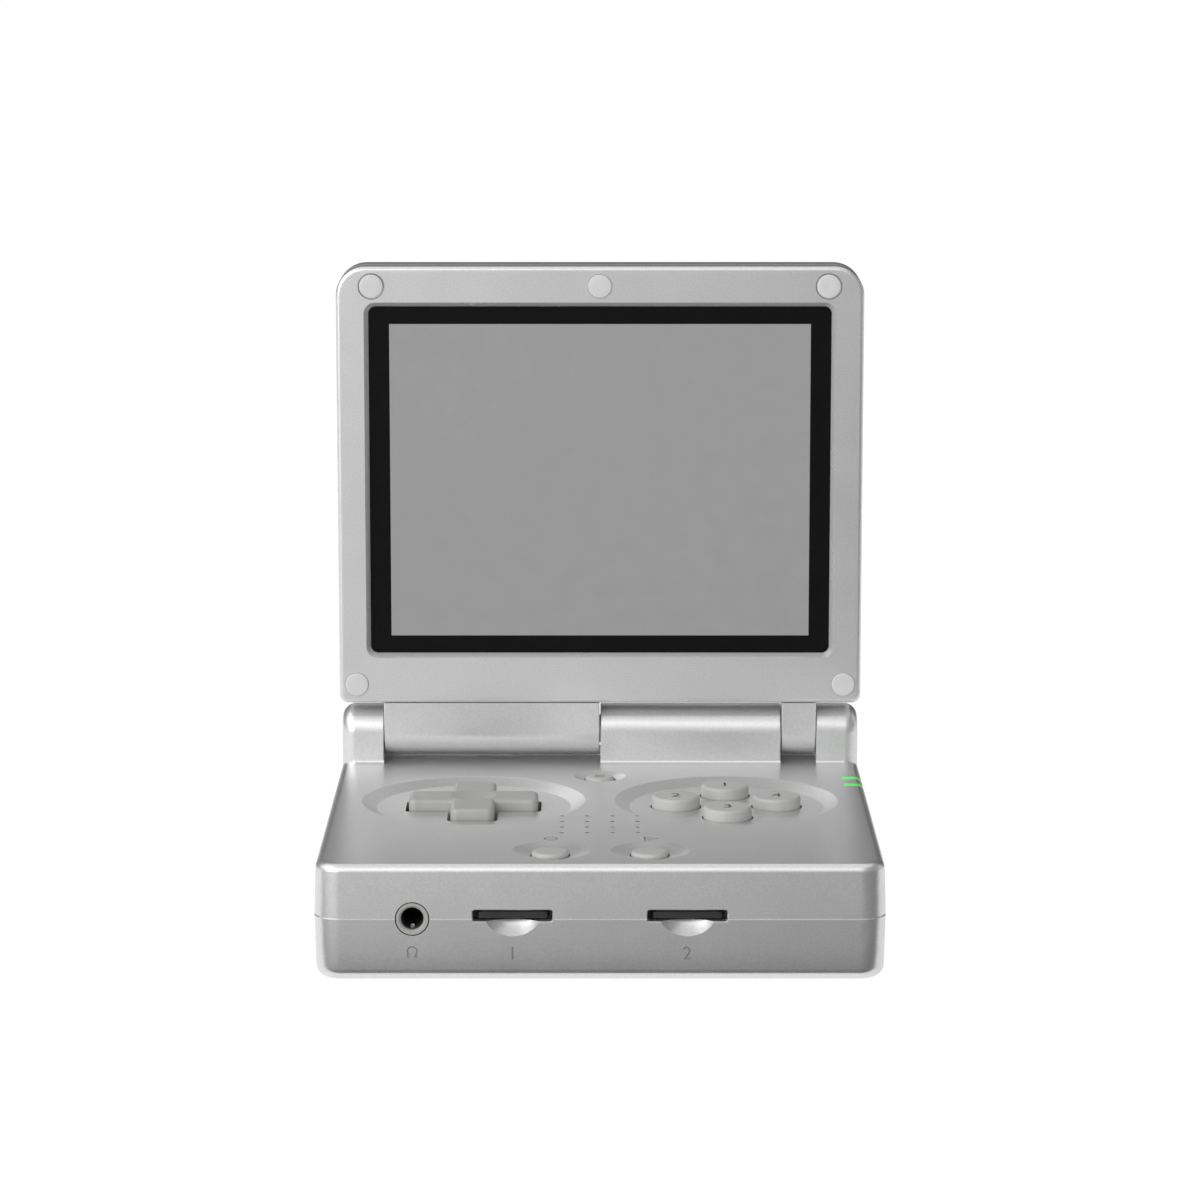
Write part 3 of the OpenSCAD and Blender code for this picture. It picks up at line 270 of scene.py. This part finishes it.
def add_cards():
    """A ring of cards round the studio, one that lies in front of the console, and one at its right."""
    steps = RING_STEPS
    angles = [2 * pi * i / steps for i in range(steps)]
    points = [(RING_RADIUS * cos(a), RING_RADIUS * sin(a), z) for z in RING_Z for a in angles]
    faces = [(i, (i + 1) % steps, steps + (i + 1) % steps, steps + i) for i in range(steps)]
    card("ring_card", points, faces, RING_GREYS_X, RING_GREYS_Y)
    far, near = FLOOR_CARD_SPAN_Y
    corners = [(side * FLOOR_CARD_HALF, y, FLOOR_CARD_Z)
               for side, y in ((-1, far), (1, far), (1, near), (-1, near))]
    card("floor_card", corners, [(0, 1, 2, 3)], FLOOR_GREYS_X, FLOOR_GREYS_Y)
    front, back = SIDE_CARD_SPAN_Y
    low, high = SIDE_CARD_SPAN_Z
    corners = [(SIDE_CARD_X, y, z) for y, z in ((front, low), (back, low), (back, high), (front, high))]
    card("side_card", corners, [(0, 1, 2, 3)], SIDE_GREYS_X, SIDE_GREYS_Y)


bpy.context.scene.view_settings.view_transform = "Standard"
add_camera()
add_world()
add_floor()
add_cards()
for lamp in LAMPS:
    add_softbox(*lamp)


# ---- Materials ----

def principled(name, colour, **constants):
    """A new material with its constant values set on the shader's own sockets."""
    material = bpy.data.materials.new(name)
    material.use_nodes = True
    shader = material.node_tree.nodes["Principled BSDF"]
    shader.inputs["Base Color"].default_value = (*colour, 1)
    for socket, value in constants.items():
        shader.inputs[socket.replace("_", " ")].default_value = value
    return material


def noise(material, scale, detail=2.0, stretch=None):
    """A noise texture in the piece's own coordinates; its features are about 1 / scale metres wide."""
    tree = material.node_tree
    place = tree.nodes.new("ShaderNodeTexCoord")
    texture = tree.nodes.new("ShaderNodeTexNoise")
    texture.inputs["Scale"].default_value = scale
    texture.inputs["Detail"].default_value = detail
    source = place.outputs["Object"]
    if stretch:
        mapping = tree.nodes.new("ShaderNodeMapping")
        mapping.inputs["Scale"].default_value = stretch
        tree.links.new(source, mapping.inputs["Vector"])
        source = mapping.outputs["Vector"]
    tree.links.new(source, texture.inputs["Vector"])
    return texture.outputs["Fac"]


def vary_colour(material, factor, dark, light, low=0.35, high=0.65):
    """Base colour runs from dark to light with a factor."""
    tree = material.node_tree
    ramp = tree.nodes.new("ShaderNodeValToRGB")
    ramp.color_ramp.elements[0].position = low
    ramp.color_ramp.elements[0].color = (*dark, 1)
    ramp.color_ramp.elements[1].position = high
    ramp.color_ramp.elements[1].color = (*light, 1)
    tree.links.new(factor, ramp.inputs["Fac"])
    tree.links.new(ramp.outputs["Color"], tree.nodes["Principled BSDF"].inputs["Base Color"])


def vary_roughness(material, factor, low, high):
    """Roughness runs from low to high with a noise factor."""
    tree = material.node_tree
    span = tree.nodes.new("ShaderNodeMapRange")
    span.inputs["From Min"].default_value = NOISE_RANGE[0]
    span.inputs["From Max"].default_value = NOISE_RANGE[1]
    span.inputs["To Min"].default_value = low
    span.inputs["To Max"].default_value = high
    tree.links.new(factor, span.inputs["Value"])
    tree.links.new(span.outputs[0], tree.nodes["Principled BSDF"].inputs["Roughness"])


def add_bump(material, factor, depth, strength=0.3):
    """Fine relief with a noise factor."""
    tree = material.node_tree
    bump = tree.nodes.new("ShaderNodeBump")
    bump.inputs["Strength"].default_value = strength
    bump.inputs["Distance"].default_value = depth
    tree.links.new(factor, bump.inputs["Height"])
    tree.links.new(bump.outputs["Normal"], tree.nodes["Principled BSDF"].inputs["Normal"])


def moulded(name, colour, spread, roughness, grain, depth, **constants):
    """Moulded plastic or rubber: a little mottled, with a fine grain in its surface."""
    material = principled(name, colour, **constants)
    dark = [c * (1 - spread) for c in colour]
    light = [min(c * (1 + spread), 1) for c in colour]
    vary_colour(material, noise(material, MOTTLE, 4), dark, light)
    vary_roughness(material, noise(material, FINE, 3), roughness - 0.04, roughness + 0.04)
    add_bump(material, noise(material, grain, 3), depth)
    return material


def flaked(name, colour, metallic, dark, light, roughness):
    """Satin silver paint: fine flakes, and a roughness that drifts slowly between two values."""
    material = principled(name, colour, Metallic=metallic)
    vary_colour(material, noise(material, FLAKES, 1.5), dark, light)
    vary_roughness(material, noise(material, CLOUDS, 3), *roughness)
    return material


def make_silver():
    """The paint of the case and the lid, over moulded plastic with a grain."""
    material = flaked("silver_paint", grey(0.6), 0.8, (0.66, 0.66, 0.662), (0.72, 0.72, 0.722), (0.32, 0.36))
    add_bump(material, noise(material, PAINT_GRAIN, 2), 0.01 * MM, 0.25)
    return material


def make_metal(name, colour, roughness):
    """Plated metal, a little brushed."""
    material = principled(name, colour, Metallic=1.0)
    dark = [c * 0.92 for c in colour]
    light = [min(c * 1.05, 1) for c in colour]
    vary_colour(material, noise(material, 500, 3), dark, light)
    vary_roughness(material, noise(material, 1500, 2, BRUSHED), roughness - 0.05, roughness + 0.05)
    add_bump(material, noise(material, 1800, 2, BRUSHED), 0.01 * MM, 0.15)
    return material


def make_light():
    """Clear green light guide, glowing from inside."""
    material = principled("green_light", (0.05, 0.7, 0.06), Roughness=0.3, Emission_Strength=0.55)
    shader = material.node_tree.nodes["Principled BSDF"]
    shader.inputs["Emission Color"].default_value = (0.05, 0.9, 0.06, 1)
    vary_colour(material, noise(material, 400, 2), (0.04, 0.62, 0.05), (0.06, 0.78, 0.07))
    return material


def make_board():
    """Green solder mask with paler traces under it."""
    material = principled("circuit_board", (0.03, 0.16, 0.07), Roughness=0.35)
    vary_colour(material, noise(material, 700, 1, TRACES), (0.02, 0.12, 0.05), (0.05, 0.24, 0.1),
                0.48, 0.52)
    add_bump(material, noise(material, 700, 1, TRACES), 0.02 * MM)
    return material


MATERIALS = {
    "silver_paint": make_silver(),
    "button_plastic": moulded("button_plastic", (0.54, 0.54, 0.528), 0.03, 0.42, 2400, 0.01 * MM),
    "button_rubber": moulded("button_rubber", grey(0.35), 0.05, 0.7, 1500, 0.02 * MM,
                             Specular_IOR_Level=0.3),
    "bumper_rubber": moulded("bumper_rubber", (0.70, 0.695, 0.70), 0.02, 0.5, 1800, 0.01 * MM),
    "screen_glass": moulded("screen_picture", grey(0.365), 0.015, 0.5, 900, 0.004 * MM,
                            Specular_IOR_Level=0.08),
    "green_light": make_light(),
    "jack_plastic": moulded("jack_plastic", (0.42, 0.415, 0.40), 0.03, 0.4, 2200, 0.01 * MM),
    "steel": make_metal("steel", (0.62, 0.61, 0.6), 0.28),
    "circuit_board": make_board(),
    "cable_film": moulded("cable_film", (0.5, 0.26, 0.05), 0.1, 0.35, 1200, 0.01 * MM),
    "dark_plastic": moulded("dark_plastic", grey(0.03), 0.2, 0.45, 1900, 0.015 * MM),
}
BORDER = moulded("screen_border", grey(0.0045), 0.1, 0.5, 900, 0.004 * MM, Specular_IOR_Level=0.08)
DPAD = moulded("dpad_plastic", (0.45, 0.45, 0.438), 0.03, 0.42, 2400, 0.01 * MM)
# A brighter, less metallic silver for the walls of the screen's opening: a painted highlight
OPENING_HIGHLIGHT = flaked("rim_painted_highlight", grey(0.85), 0.5, (0.84, 0.84, 0.842), (0.9, 0.9, 0.902), (0.24, 0.28))
# Mid grey in the cuts of the marks engraved in the silver: painted shade in their recesses
MARK_PAINTED_SHADE = moulded("mark_painted_shade", grey(0.33), 0.1, 0.6, 1500, 0.01 * MM)
ENGRAVING = moulded("engraving_shade", grey(0.12), 0.1, 0.6, 1500, 0.01 * MM)
GOLD = make_metal("gold_contact", (0.8, 0.55, 0.2), 0.25)
STEEL = MATERIALS["steel"]


# ---- Mesh helpers ----

def link(mesh, name, body):
    """A new piece that rides on a body."""
    piece = bpy.data.objects.new(name, mesh)
    bpy.context.scene.collection.objects.link(piece)
    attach(piece, body)
    return piece


def smooth(mesh, angle=SMOOTH_ANGLE):
    mesh.polygons.foreach_set("use_smooth", [True] * len(mesh.polygons))
    mesh.set_sharp_from_angle(angle=angle)


def body_of(node):
    return frame["nodes"][node]["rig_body"]


def slot_of(node):
    return next(s["material_slot"] for s in frame["record"]["subparts"] if s["node"] == node)


def solid_copy(node):
    """The node's mesh with its faces joined at their edges, so that rounded edges can shade smoothly."""
    mesh = frame["nodes"][node].data.copy()
    for name in ("custom_normal", "sharp_edge", "sharp_face"):
        attribute = mesh.attributes.get(name)
        if attribute:
            mesh.attributes.remove(attribute)
    mesh.materials.clear()
    shape = bmesh.new()
    shape.from_mesh(mesh)
    bmesh.ops.remove_doubles(shape, verts=shape.verts, dist=WELD)
    shape.to_mesh(mesh)
    shape.free()
    return mesh


def cut(mesh, cutters):
    """The mesh with the cutters taken away; the walls that a cutter leaves take the cutter's material."""
    target = bpy.data.objects.new("cut_target", mesh)
    bpy.context.scene.collection.objects.link(target)
    tools = []
    for cutter in cutters:
        tool = bpy.data.objects.new("cut_tool", cutter)
        bpy.context.scene.collection.objects.link(tool)
        tools.append(tool)
        step = target.modifiers.new("cut", "BOOLEAN")
        step.operation = "DIFFERENCE"
        step.solver = "EXACT"
        step.material_mode = "TRANSFER"
        step.object = tool
    bpy.context.view_layer.update()
    result = bpy.data.meshes.new_from_object(target.evaluated_get(bpy.context.evaluated_depsgraph_get()))
    for thing in [target, *tools]:
        bpy.data.objects.remove(thing)
    return result


def dress(node, cutters=(), angle=SMOOTH_ANGLE, material=None):
    """A smooth-shaded piece that stands for a CAD node, with the cutters taken away."""
    mesh = solid_copy(node)
    mesh.materials.append(material or MATERIALS[slot_of(node)])
    if cutters:
        mesh = cut(mesh, cutters)
    smooth(mesh, angle)
    piece = link(mesh, node + "_dressed", body_of(node))
    normals = piece.modifiers.new("flat_faces_stay_flat", "WEIGHTED_NORMAL")
    normals.keep_sharp = True
    normals.weight = FLAT_WEIGHT
    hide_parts(node)
    return piece


def stroke(points, width, depth, material):
    """A flat ribbon along 2-D points with round ends, depth deep on both sides of z = 0, to cut a mark."""
    shape = bmesh.new()
    left, right = [], []
    for i, p in enumerate(points):
        a = Vector(points[max(i - 1, 0)])
        b = Vector(points[min(i + 1, len(points) - 1)])
        side = (b - a).normalized()
        side = Vector((-side.y, side.x)) * width / 2
        left.append(Vector(p) + side)
        right.append(Vector(p) - side)
    rim = left + cap(points[-1], points[-2], width) + right[::-1] + cap(points[0], points[1], width)
    low = [shape.verts.new((p[0], p[1], -depth)) for p in rim]
    high = [shape.verts.new((p[0], p[1], depth)) for p in rim]
    shape.faces.new(low[::-1])
    shape.faces.new(high)
    for i in range(len(rim)):
        j = (i + 1) % len(rim)
        shape.faces.new((low[i], low[j], high[j], high[i]))
    bmesh.ops.recalc_face_normals(shape, faces=shape.faces)
    mesh = bpy.data.meshes.new("stroke")
    shape.to_mesh(mesh)
    shape.free()
    mesh.materials.append(material)
    return mesh


def cap(end, before, width, steps=5):
    """Points round the end of a ribbon, from its left side to its right."""
    along = (Vector(end) - Vector(before)).normalized()
    start = Vector((-along.y, along.x))
    return [Vector(end) + width / 2 * (start * cos(pi * i / steps) + along * sin(pi * i / steps))
            for i in range(1, steps)]


def numeral(text, height, depth, material):
    """A numeral as a closed solid, its middle at the origin."""
    data = bpy.data.curves.new("numeral", "FONT")
    data.body = text
    data.size = height / DIGIT_SHARE
    data.align_x = "CENTER"
    data.extrude = depth
    data.resolution_u = 6
    holder = bpy.data.objects.new("numeral", data)
    bpy.context.scene.collection.objects.link(holder)
    bpy.context.view_layer.update()
    mesh = bpy.data.meshes.new_from_object(holder.evaluated_get(bpy.context.evaluated_depsgraph_get()))
    bpy.data.objects.remove(holder)
    shape = bmesh.new()
    shape.from_mesh(mesh)
    bmesh.ops.remove_doubles(shape, verts=shape.verts, dist=WELD)
    shape.to_mesh(mesh)
    shape.free()
    mesh.materials.clear()
    mesh.materials.append(material)
    mesh.transform(Matrix.Translation((0, -height / 2, 0)))
    return mesh


def outline_mark(points, width, depth, material):
    """A closed line round the origin as a flat solid ring, to cut a mark."""
    shape = bmesh.new()
    rings = []
    for side, z in ((1, -depth), (1, depth), (-1, depth), (-1, -depth)):
        ring = [Vector(p) * (1 + side * width / 2 / Vector(p).length) for p in points]
        rings.append([shape.verts.new((*p, z)) for p in ring])
    for a in range(4):
        low, high = rings[a], rings[(a + 1) % 4]
        for i in range(len(points)):
            j = (i + 1) % len(points)
            shape.faces.new((low[i], low[j], high[j], high[i]))
    bmesh.ops.recalc_face_normals(shape, faces=shape.faces)
    mesh = bpy.data.meshes.new("outline_mark")
    shape.to_mesh(mesh)
    shape.free()
    mesh.materials.append(material)
    return mesh


def lathe(profile, material, steps=64):
    """A closed solid of revolution about z, from (radius, z) pairs that start and end on the axis."""
    shape = bmesh.new()
    rings = []
    for r, z in profile:
        count = steps if r > 0 else 1
        rings.append([shape.verts.new((r * cos(2 * pi * i / steps), r * sin(2 * pi * i / steps), z))
                      for i in range(count)])
    for low, high in zip(rings, rings[1:]):
        for i in range(steps):
            j = (i + 1) % steps
            around = (low[i % len(low)], low[j % len(low)], high[j % len(high)], high[i % len(high)])
            shape.faces.new(list(dict.fromkeys(around)))
    bmesh.ops.recalc_face_normals(shape, faces=shape.faces)
    mesh = bpy.data.meshes.new("lathe")
    shape.to_mesh(mesh)
    shape.free()
    mesh.materials.append(material)
    return mesh


def blocks(boxes, bevel, material):
    """Small blocks as one mesh, each given by its lowest and highest corner, their edges broken."""
    shape = bmesh.new()
    for low, high in boxes:
        made = bmesh.ops.create_cube(shape, size=1)["verts"]
        size = Vector(high) - Vector(low)
        middle = (Vector(high) + Vector(low)) / 2
        for vertex in made:
            vertex.co = Vector(a * b for a, b in zip(vertex.co, size)) + middle
    bmesh.ops.bevel(shape, geom=shape.edges[:], offset=bevel, segments=2, affect="EDGES")
    mesh = bpy.data.meshes.new("blocks")
    shape.to_mesh(mesh)
    shape.free()
    mesh.materials.append(material)
    return mesh


def joined(meshes):
    """Several meshes of one material as one."""
    shape = bmesh.new()
    for mesh in meshes:
        shape.from_mesh(mesh)
    mesh = bpy.data.meshes.new("joined")
    shape.to_mesh(mesh)
    shape.free()
    mesh.materials.append(meshes[0].materials[0])
    return mesh


def arc(x, y, radius, start, end, steps=12):
    """Points of an arc in degrees."""
    return [(x + radius * cos(radians(start + (end - start) * i / steps)),
             y + radius * sin(radians(start + (end - start) * i / steps))) for i in range(steps + 1)]


def in_mm(points):
    """Points given in millimetres, in metres."""
    return [tuple(c * MM for c in p) for p in points]


def on_top(mesh, x, y, z):
    """Lays a flat mark down at a place, so that it reads from above."""
    mesh.transform(Matrix.Translation((x, y, z)))
    return mesh


def on_front(mesh, x, y, z):
    """Stands a flat mark up, so that it reads from the front."""
    mesh.transform(Matrix.Translation((x, y, z)) @ Matrix.Rotation(pi / 2, 4, "X"))
    return mesh


# ---- Pieces ----

low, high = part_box("base_bottom_shell")
FRONT_Y = low.y
SEAM_Z = high.z
CASE_TOP = 18.6 * MM
LID_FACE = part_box("lid_bezel")[0].y

# Marks: how deep they are cut, their heights on the front, and how far they stand behind the start buttons
ENGRAVE = 0.18 * MM
JACK_MARK_Z = 4.75 * MM
SLOT_MARK_Z = 4.6 * MM
SLOT_DIGIT = 2.1 * MM
BUTTON_DIGIT = 2.5 * MM
BEHIND_BUTTON = 8.4 * MM


def top_of(node):
    """Middle of a node in x and y, at its top."""
    a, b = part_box(node)
    return (a.x + b.x) / 2, (a.y + b.y) / 2, b.z


def front_face(node, x, z):
    """The y of a node's front surface at a place in x and z."""
    tree = BVHTree.FromObject(frame["nodes"][node], bpy.context.evaluated_depsgraph_get())
    before, backwards = Vector((x, -1, z)), Vector((0, 1, 0))
    return tree.ray_cast(before, backwards)[0].y


def headphone_mark():
    """A band over the head with a cup at each end."""
    size = 0.92 * MM
    band_line = 0.22 * MM
    cup_line = 0.42 * MM
    cup_top, cup_foot = -0.42 * MM, -0.78 * MM
    band = arc(0, 0.1 * MM, size * 0.8, -35, 215)
    cups = [[(s * size * 0.66, cup_top), (s * size * 0.62, cup_foot)] for s in (-1, 1)]
    lines = [stroke(band, band_line, ENGRAVE, MARK_PAINTED_SHADE)]
    lines += [stroke(c, cup_line, ENGRAVE, MARK_PAINTED_SHADE) for c in cups]
    return lines


def front_marks():
    """Marks in the front of the lower shell: headphones under the jack, plain numbers under the slots."""
    x = top_of("headphone_jack")[0]
    y = front_face("base_bottom_shell", x, JACK_MARK_Z)
    marks = [on_front(m, x, y, JACK_MARK_Z) for m in headphone_mark()]
    for node, text in (("memory_card_left", "1"), ("memory_card_right", "2")):
        x = top_of(node)[0]
        y = front_face("base_bottom_shell", x, SLOT_MARK_Z)
        marks.append(on_front(numeral(text, SLOT_DIGIT, ENGRAVE, MARK_PAINTED_SHADE), x, y, SLOT_MARK_Z))
    return marks


def top_marks():
    """Marks behind the two start buttons: a ring and a triangle."""
    marks = []
    for node, radius, corners, line in (("select_button", 1.0 * MM, 32, 0.28 * MM),
                                        ("start_button", 1.4 * MM, 3, 0.5 * MM)):
        x, y, _ = top_of(node)
        points = arc(0, 0, radius, 0, 360, corners)[:-1]
        mark = outline_mark(points, line, ENGRAVE, MARK_PAINTED_SHADE)
        marks.append(on_top(mark, x, y + BEHIND_BUTTON, CASE_TOP))
    return marks


def menu_mark(x, y, z):
    """Three short bars at a place."""
    half, line = 0.75 * MM, 0.2 * MM
    bars = [[(-half, i * 0.55 * MM), (half, i * 0.55 * MM)] for i in (-1, 0, 1)]
    return [on_top(stroke(b, line, ENGRAVE, ENGRAVING), x, y, z) for b in bars]


def bezel():
    """The lid's front, with a painted highlight round the screen's opening: its walls take a brighter
    silver.
    """
    piece = dress("lid_bezel")
    mesh = piece.data
    mesh.materials.append(OPENING_HIGHLIGHT)
    a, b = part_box("screen_glass")
    reach, behind_glass, flat = 1.2 * MM, 0.2 * MM, 0.97
    # Faces round the opening that don't face the front take the brighter silver, a painted highlight
    for face in mesh.polygons:
        c = face.center
        near = a.x - reach < c.x < b.x + reach and a.z - reach < c.z < b.z + reach
        if near and abs(face.normal.y) < flat and c.y < a.y + behind_glass:
            face.material_index = 1


def bumpers():
    """Slightly domed bumpers with rounded rims, in the places of the CAD ones."""
    sunk, radius = -0.85, 2.0
    dome = [(radius, 0.10), (1.96, 0.19), (1.87, 0.25), (1.7, 0.28), (1.0, 0.295), (0, 0.3)]
    profile = in_mm([(0, sunk), (radius, sunk), *dome])
    top_z, top_x = 100.55, 38.5
    foot_z, foot_x = 32.4, 41.5
    places = [(s * x, z) for s in (-1, 1) for x, z in ((top_x, top_z), (foot_x, foot_z))] + [(0, top_z)]
    discs = [on_front(lathe(profile, MATERIALS["bumper_rubber"]), x * MM, LID_FACE, z * MM)
             for x, z in places]
    mesh = joined(discs)
    smooth(mesh)
    piece = link(mesh, "lid_bumpers_domed", body_of("lid_bumpers"))
    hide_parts("lid_bumpers")


def jack_parts():
    """The jack with a sunk mouth, a dark tube in its bore as painted shade of its depth, and two contact
    springs inside.
    """
    x = top_of("headphone_jack")[0]
    lip = 0.05 * MM
    mouth = in_mm([(0, 0.3), (2.12, 0.3), (2.12, 0.02), (1.8, -0.32), (1.72, -0.9), (0, -0.9)])
    mouth_cutter = on_front(lathe(mouth, MATERIALS["jack_plastic"]), x, FRONT_Y + lip, SEAM_Z)
    dress("headphone_jack", [mouth_cutter])
    # A dark tube inside the bore: painted shade, because the bore is deep and gets little light
    tube = in_mm([(0, -11.8), (1.76, -11.8), (1.76, -0.9), (1.66, -0.85), (1.62, -1.0), (1.62, -11.5),
                  (0, -11.5)])
    bore_shade = on_front(lathe(tube, MATERIALS["dark_plastic"]), x, FRONT_Y, SEAM_Z)
    smooth(bore_shade)
    link(bore_shade, "jack_bore_painted_shade", body_of("headphone_jack"))
    springs = []
    bend = [in_mm(box) for box in (((-0.3, 1.5, -1.2), (0.3, 1.62, 0)),
                                   ((-0.3, 1.34, -2.2), (0.3, 1.46, -1.1)))]
    for turn, deep in ((-90, 1.3), (90, 6)):
        spring = blocks(bend, 0.03 * MM, STEEL)
        place = Matrix.Translation((x, FRONT_Y + deep * MM, SEAM_Z))
        upright = Matrix.Rotation(pi / 2, 4, "X")
        around = Matrix.Rotation(radians(turn - 90), 4, "Z")
        spring.transform(place @ upright @ around)
        springs.append(spring)
    mesh = joined(springs)
    smooth(mesh)
    link(mesh, "jack_springs", body_of("headphone_jack"))


def port_contacts():
    """Gilded contact strips above and below the tongues in the two rear ports."""
    setback, length, bevel = 1.25 * MM, 4 * MM, 0.01 * MM
    for node, count, pitch, wide in (("usb_socket", 12, 0.5, 0.25), ("video_socket", 9, 0.9, 0.4)):
        a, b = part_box(node)
        x, z = (a.x + b.x) / 2, (a.z + b.z) / 2
        y = b.y - setback
        strips = []
        for i in range(count):
            left = x + ((i - (count - 1) / 2) * pitch - wide / 2) * MM
            for low, high in ((0.34, 0.39), (-0.39, -0.34)):
                strips.append(((left, y - length, z + low * MM), (left + wide * MM, y, z + high * MM)))
        mesh = blocks(strips, bevel, GOLD)
        smooth(mesh)
        link(mesh, node + "_contacts", body_of(node))


def card_grips():
    """Two raised lips across each memory card's outer end."""
    inset, sunk, proud, bevel = 0.7 * MM, 0.05 * MM, 0.1 * MM, 0.04 * MM
    for node in ("memory_card_left", "memory_card_right"):
        a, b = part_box(node)
        lips = [((a.x + inset, a.y + (0.12 + 0.4 * i) * MM, b.z - sunk),
                 (b.x - inset, a.y + (0.34 + 0.4 * i) * MM, b.z + proud)) for i in range(2)]
        mesh = blocks(lips, bevel, MATERIALS["dark_plastic"])
        smooth(mesh)
        link(mesh, node + "_lip", body_of(node))


def picture_glass():
    """The cover glass: the picture area shows mid grey inside a printed black border."""
    mesh = solid_copy("screen_glass")
    mesh.materials.append(BORDER)
    mesh.materials.append(MATERIALS["screen_glass"])
    a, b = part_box("screen_glass")
    middle = (a + b) / 2
    shape = bmesh.new()
    shape.from_mesh(mesh)
    for axis, half in ((Vector((1, 0, 0)), PICTURE_W / 2), (Vector((0, 0, 1)), PICTURE_H / 2)):
        for side in (-1, 1):
            geometry = shape.verts[:] + shape.edges[:] + shape.faces[:]
            bmesh.ops.bisect_plane(shape, geom=geometry, plane_co=middle + side * half * axis, plane_no=axis)
    for face in shape.faces:
        c = face.calc_center_median() - middle
        inside = abs(c.x) < PICTURE_W / 2 and abs(c.z) < PICTURE_H / 2
        faces_front = face.normal.y < -0.9
        face.material_index = 1 if inside and faces_front else 0
    shape.to_mesh(mesh)
    shape.free()
    smooth(mesh)
    piece = link(mesh, "screen_glass_dressed", body_of("screen_glass"))
    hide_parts("screen_glass")


for node, item in frame["nodes"].items():
    item.data.materials.clear()
    item.data.materials.append(MATERIALS[slot_of(node)])

dress("base_top_shell", top_marks())
dress("base_bottom_shell", front_marks())
dress("dpad", angle=DPAD_SMOOTH_ANGLE, material=DPAD)
bezel()
for node in ("battery_cover", "lid_back_shell", "light_strips",
             "select_button", "start_button", "shoulder_left_outer", "shoulder_left_inner",
             "shoulder_right_inner", "shoulder_right_outer", "volume_rocker", "power_button",
             "reset_button", "memory_card_left", "memory_card_right", "usb_socket", "video_socket"):
    dress(node)
dress("menu_button", menu_mark(*top_of("menu_button")))
for node, text in (("face_button_top", "1"), ("face_button_left", "2"), ("face_button_bottom", "3"),
                   ("face_button_right", "4")):
    x, y, z = top_of(node)
    dress(node, [on_top(numeral(text, BUTTON_DIGIT, ENGRAVE, ENGRAVING), x, y, z)])
picture_glass()
bumpers()
jack_parts()
port_contacts()
card_grips()
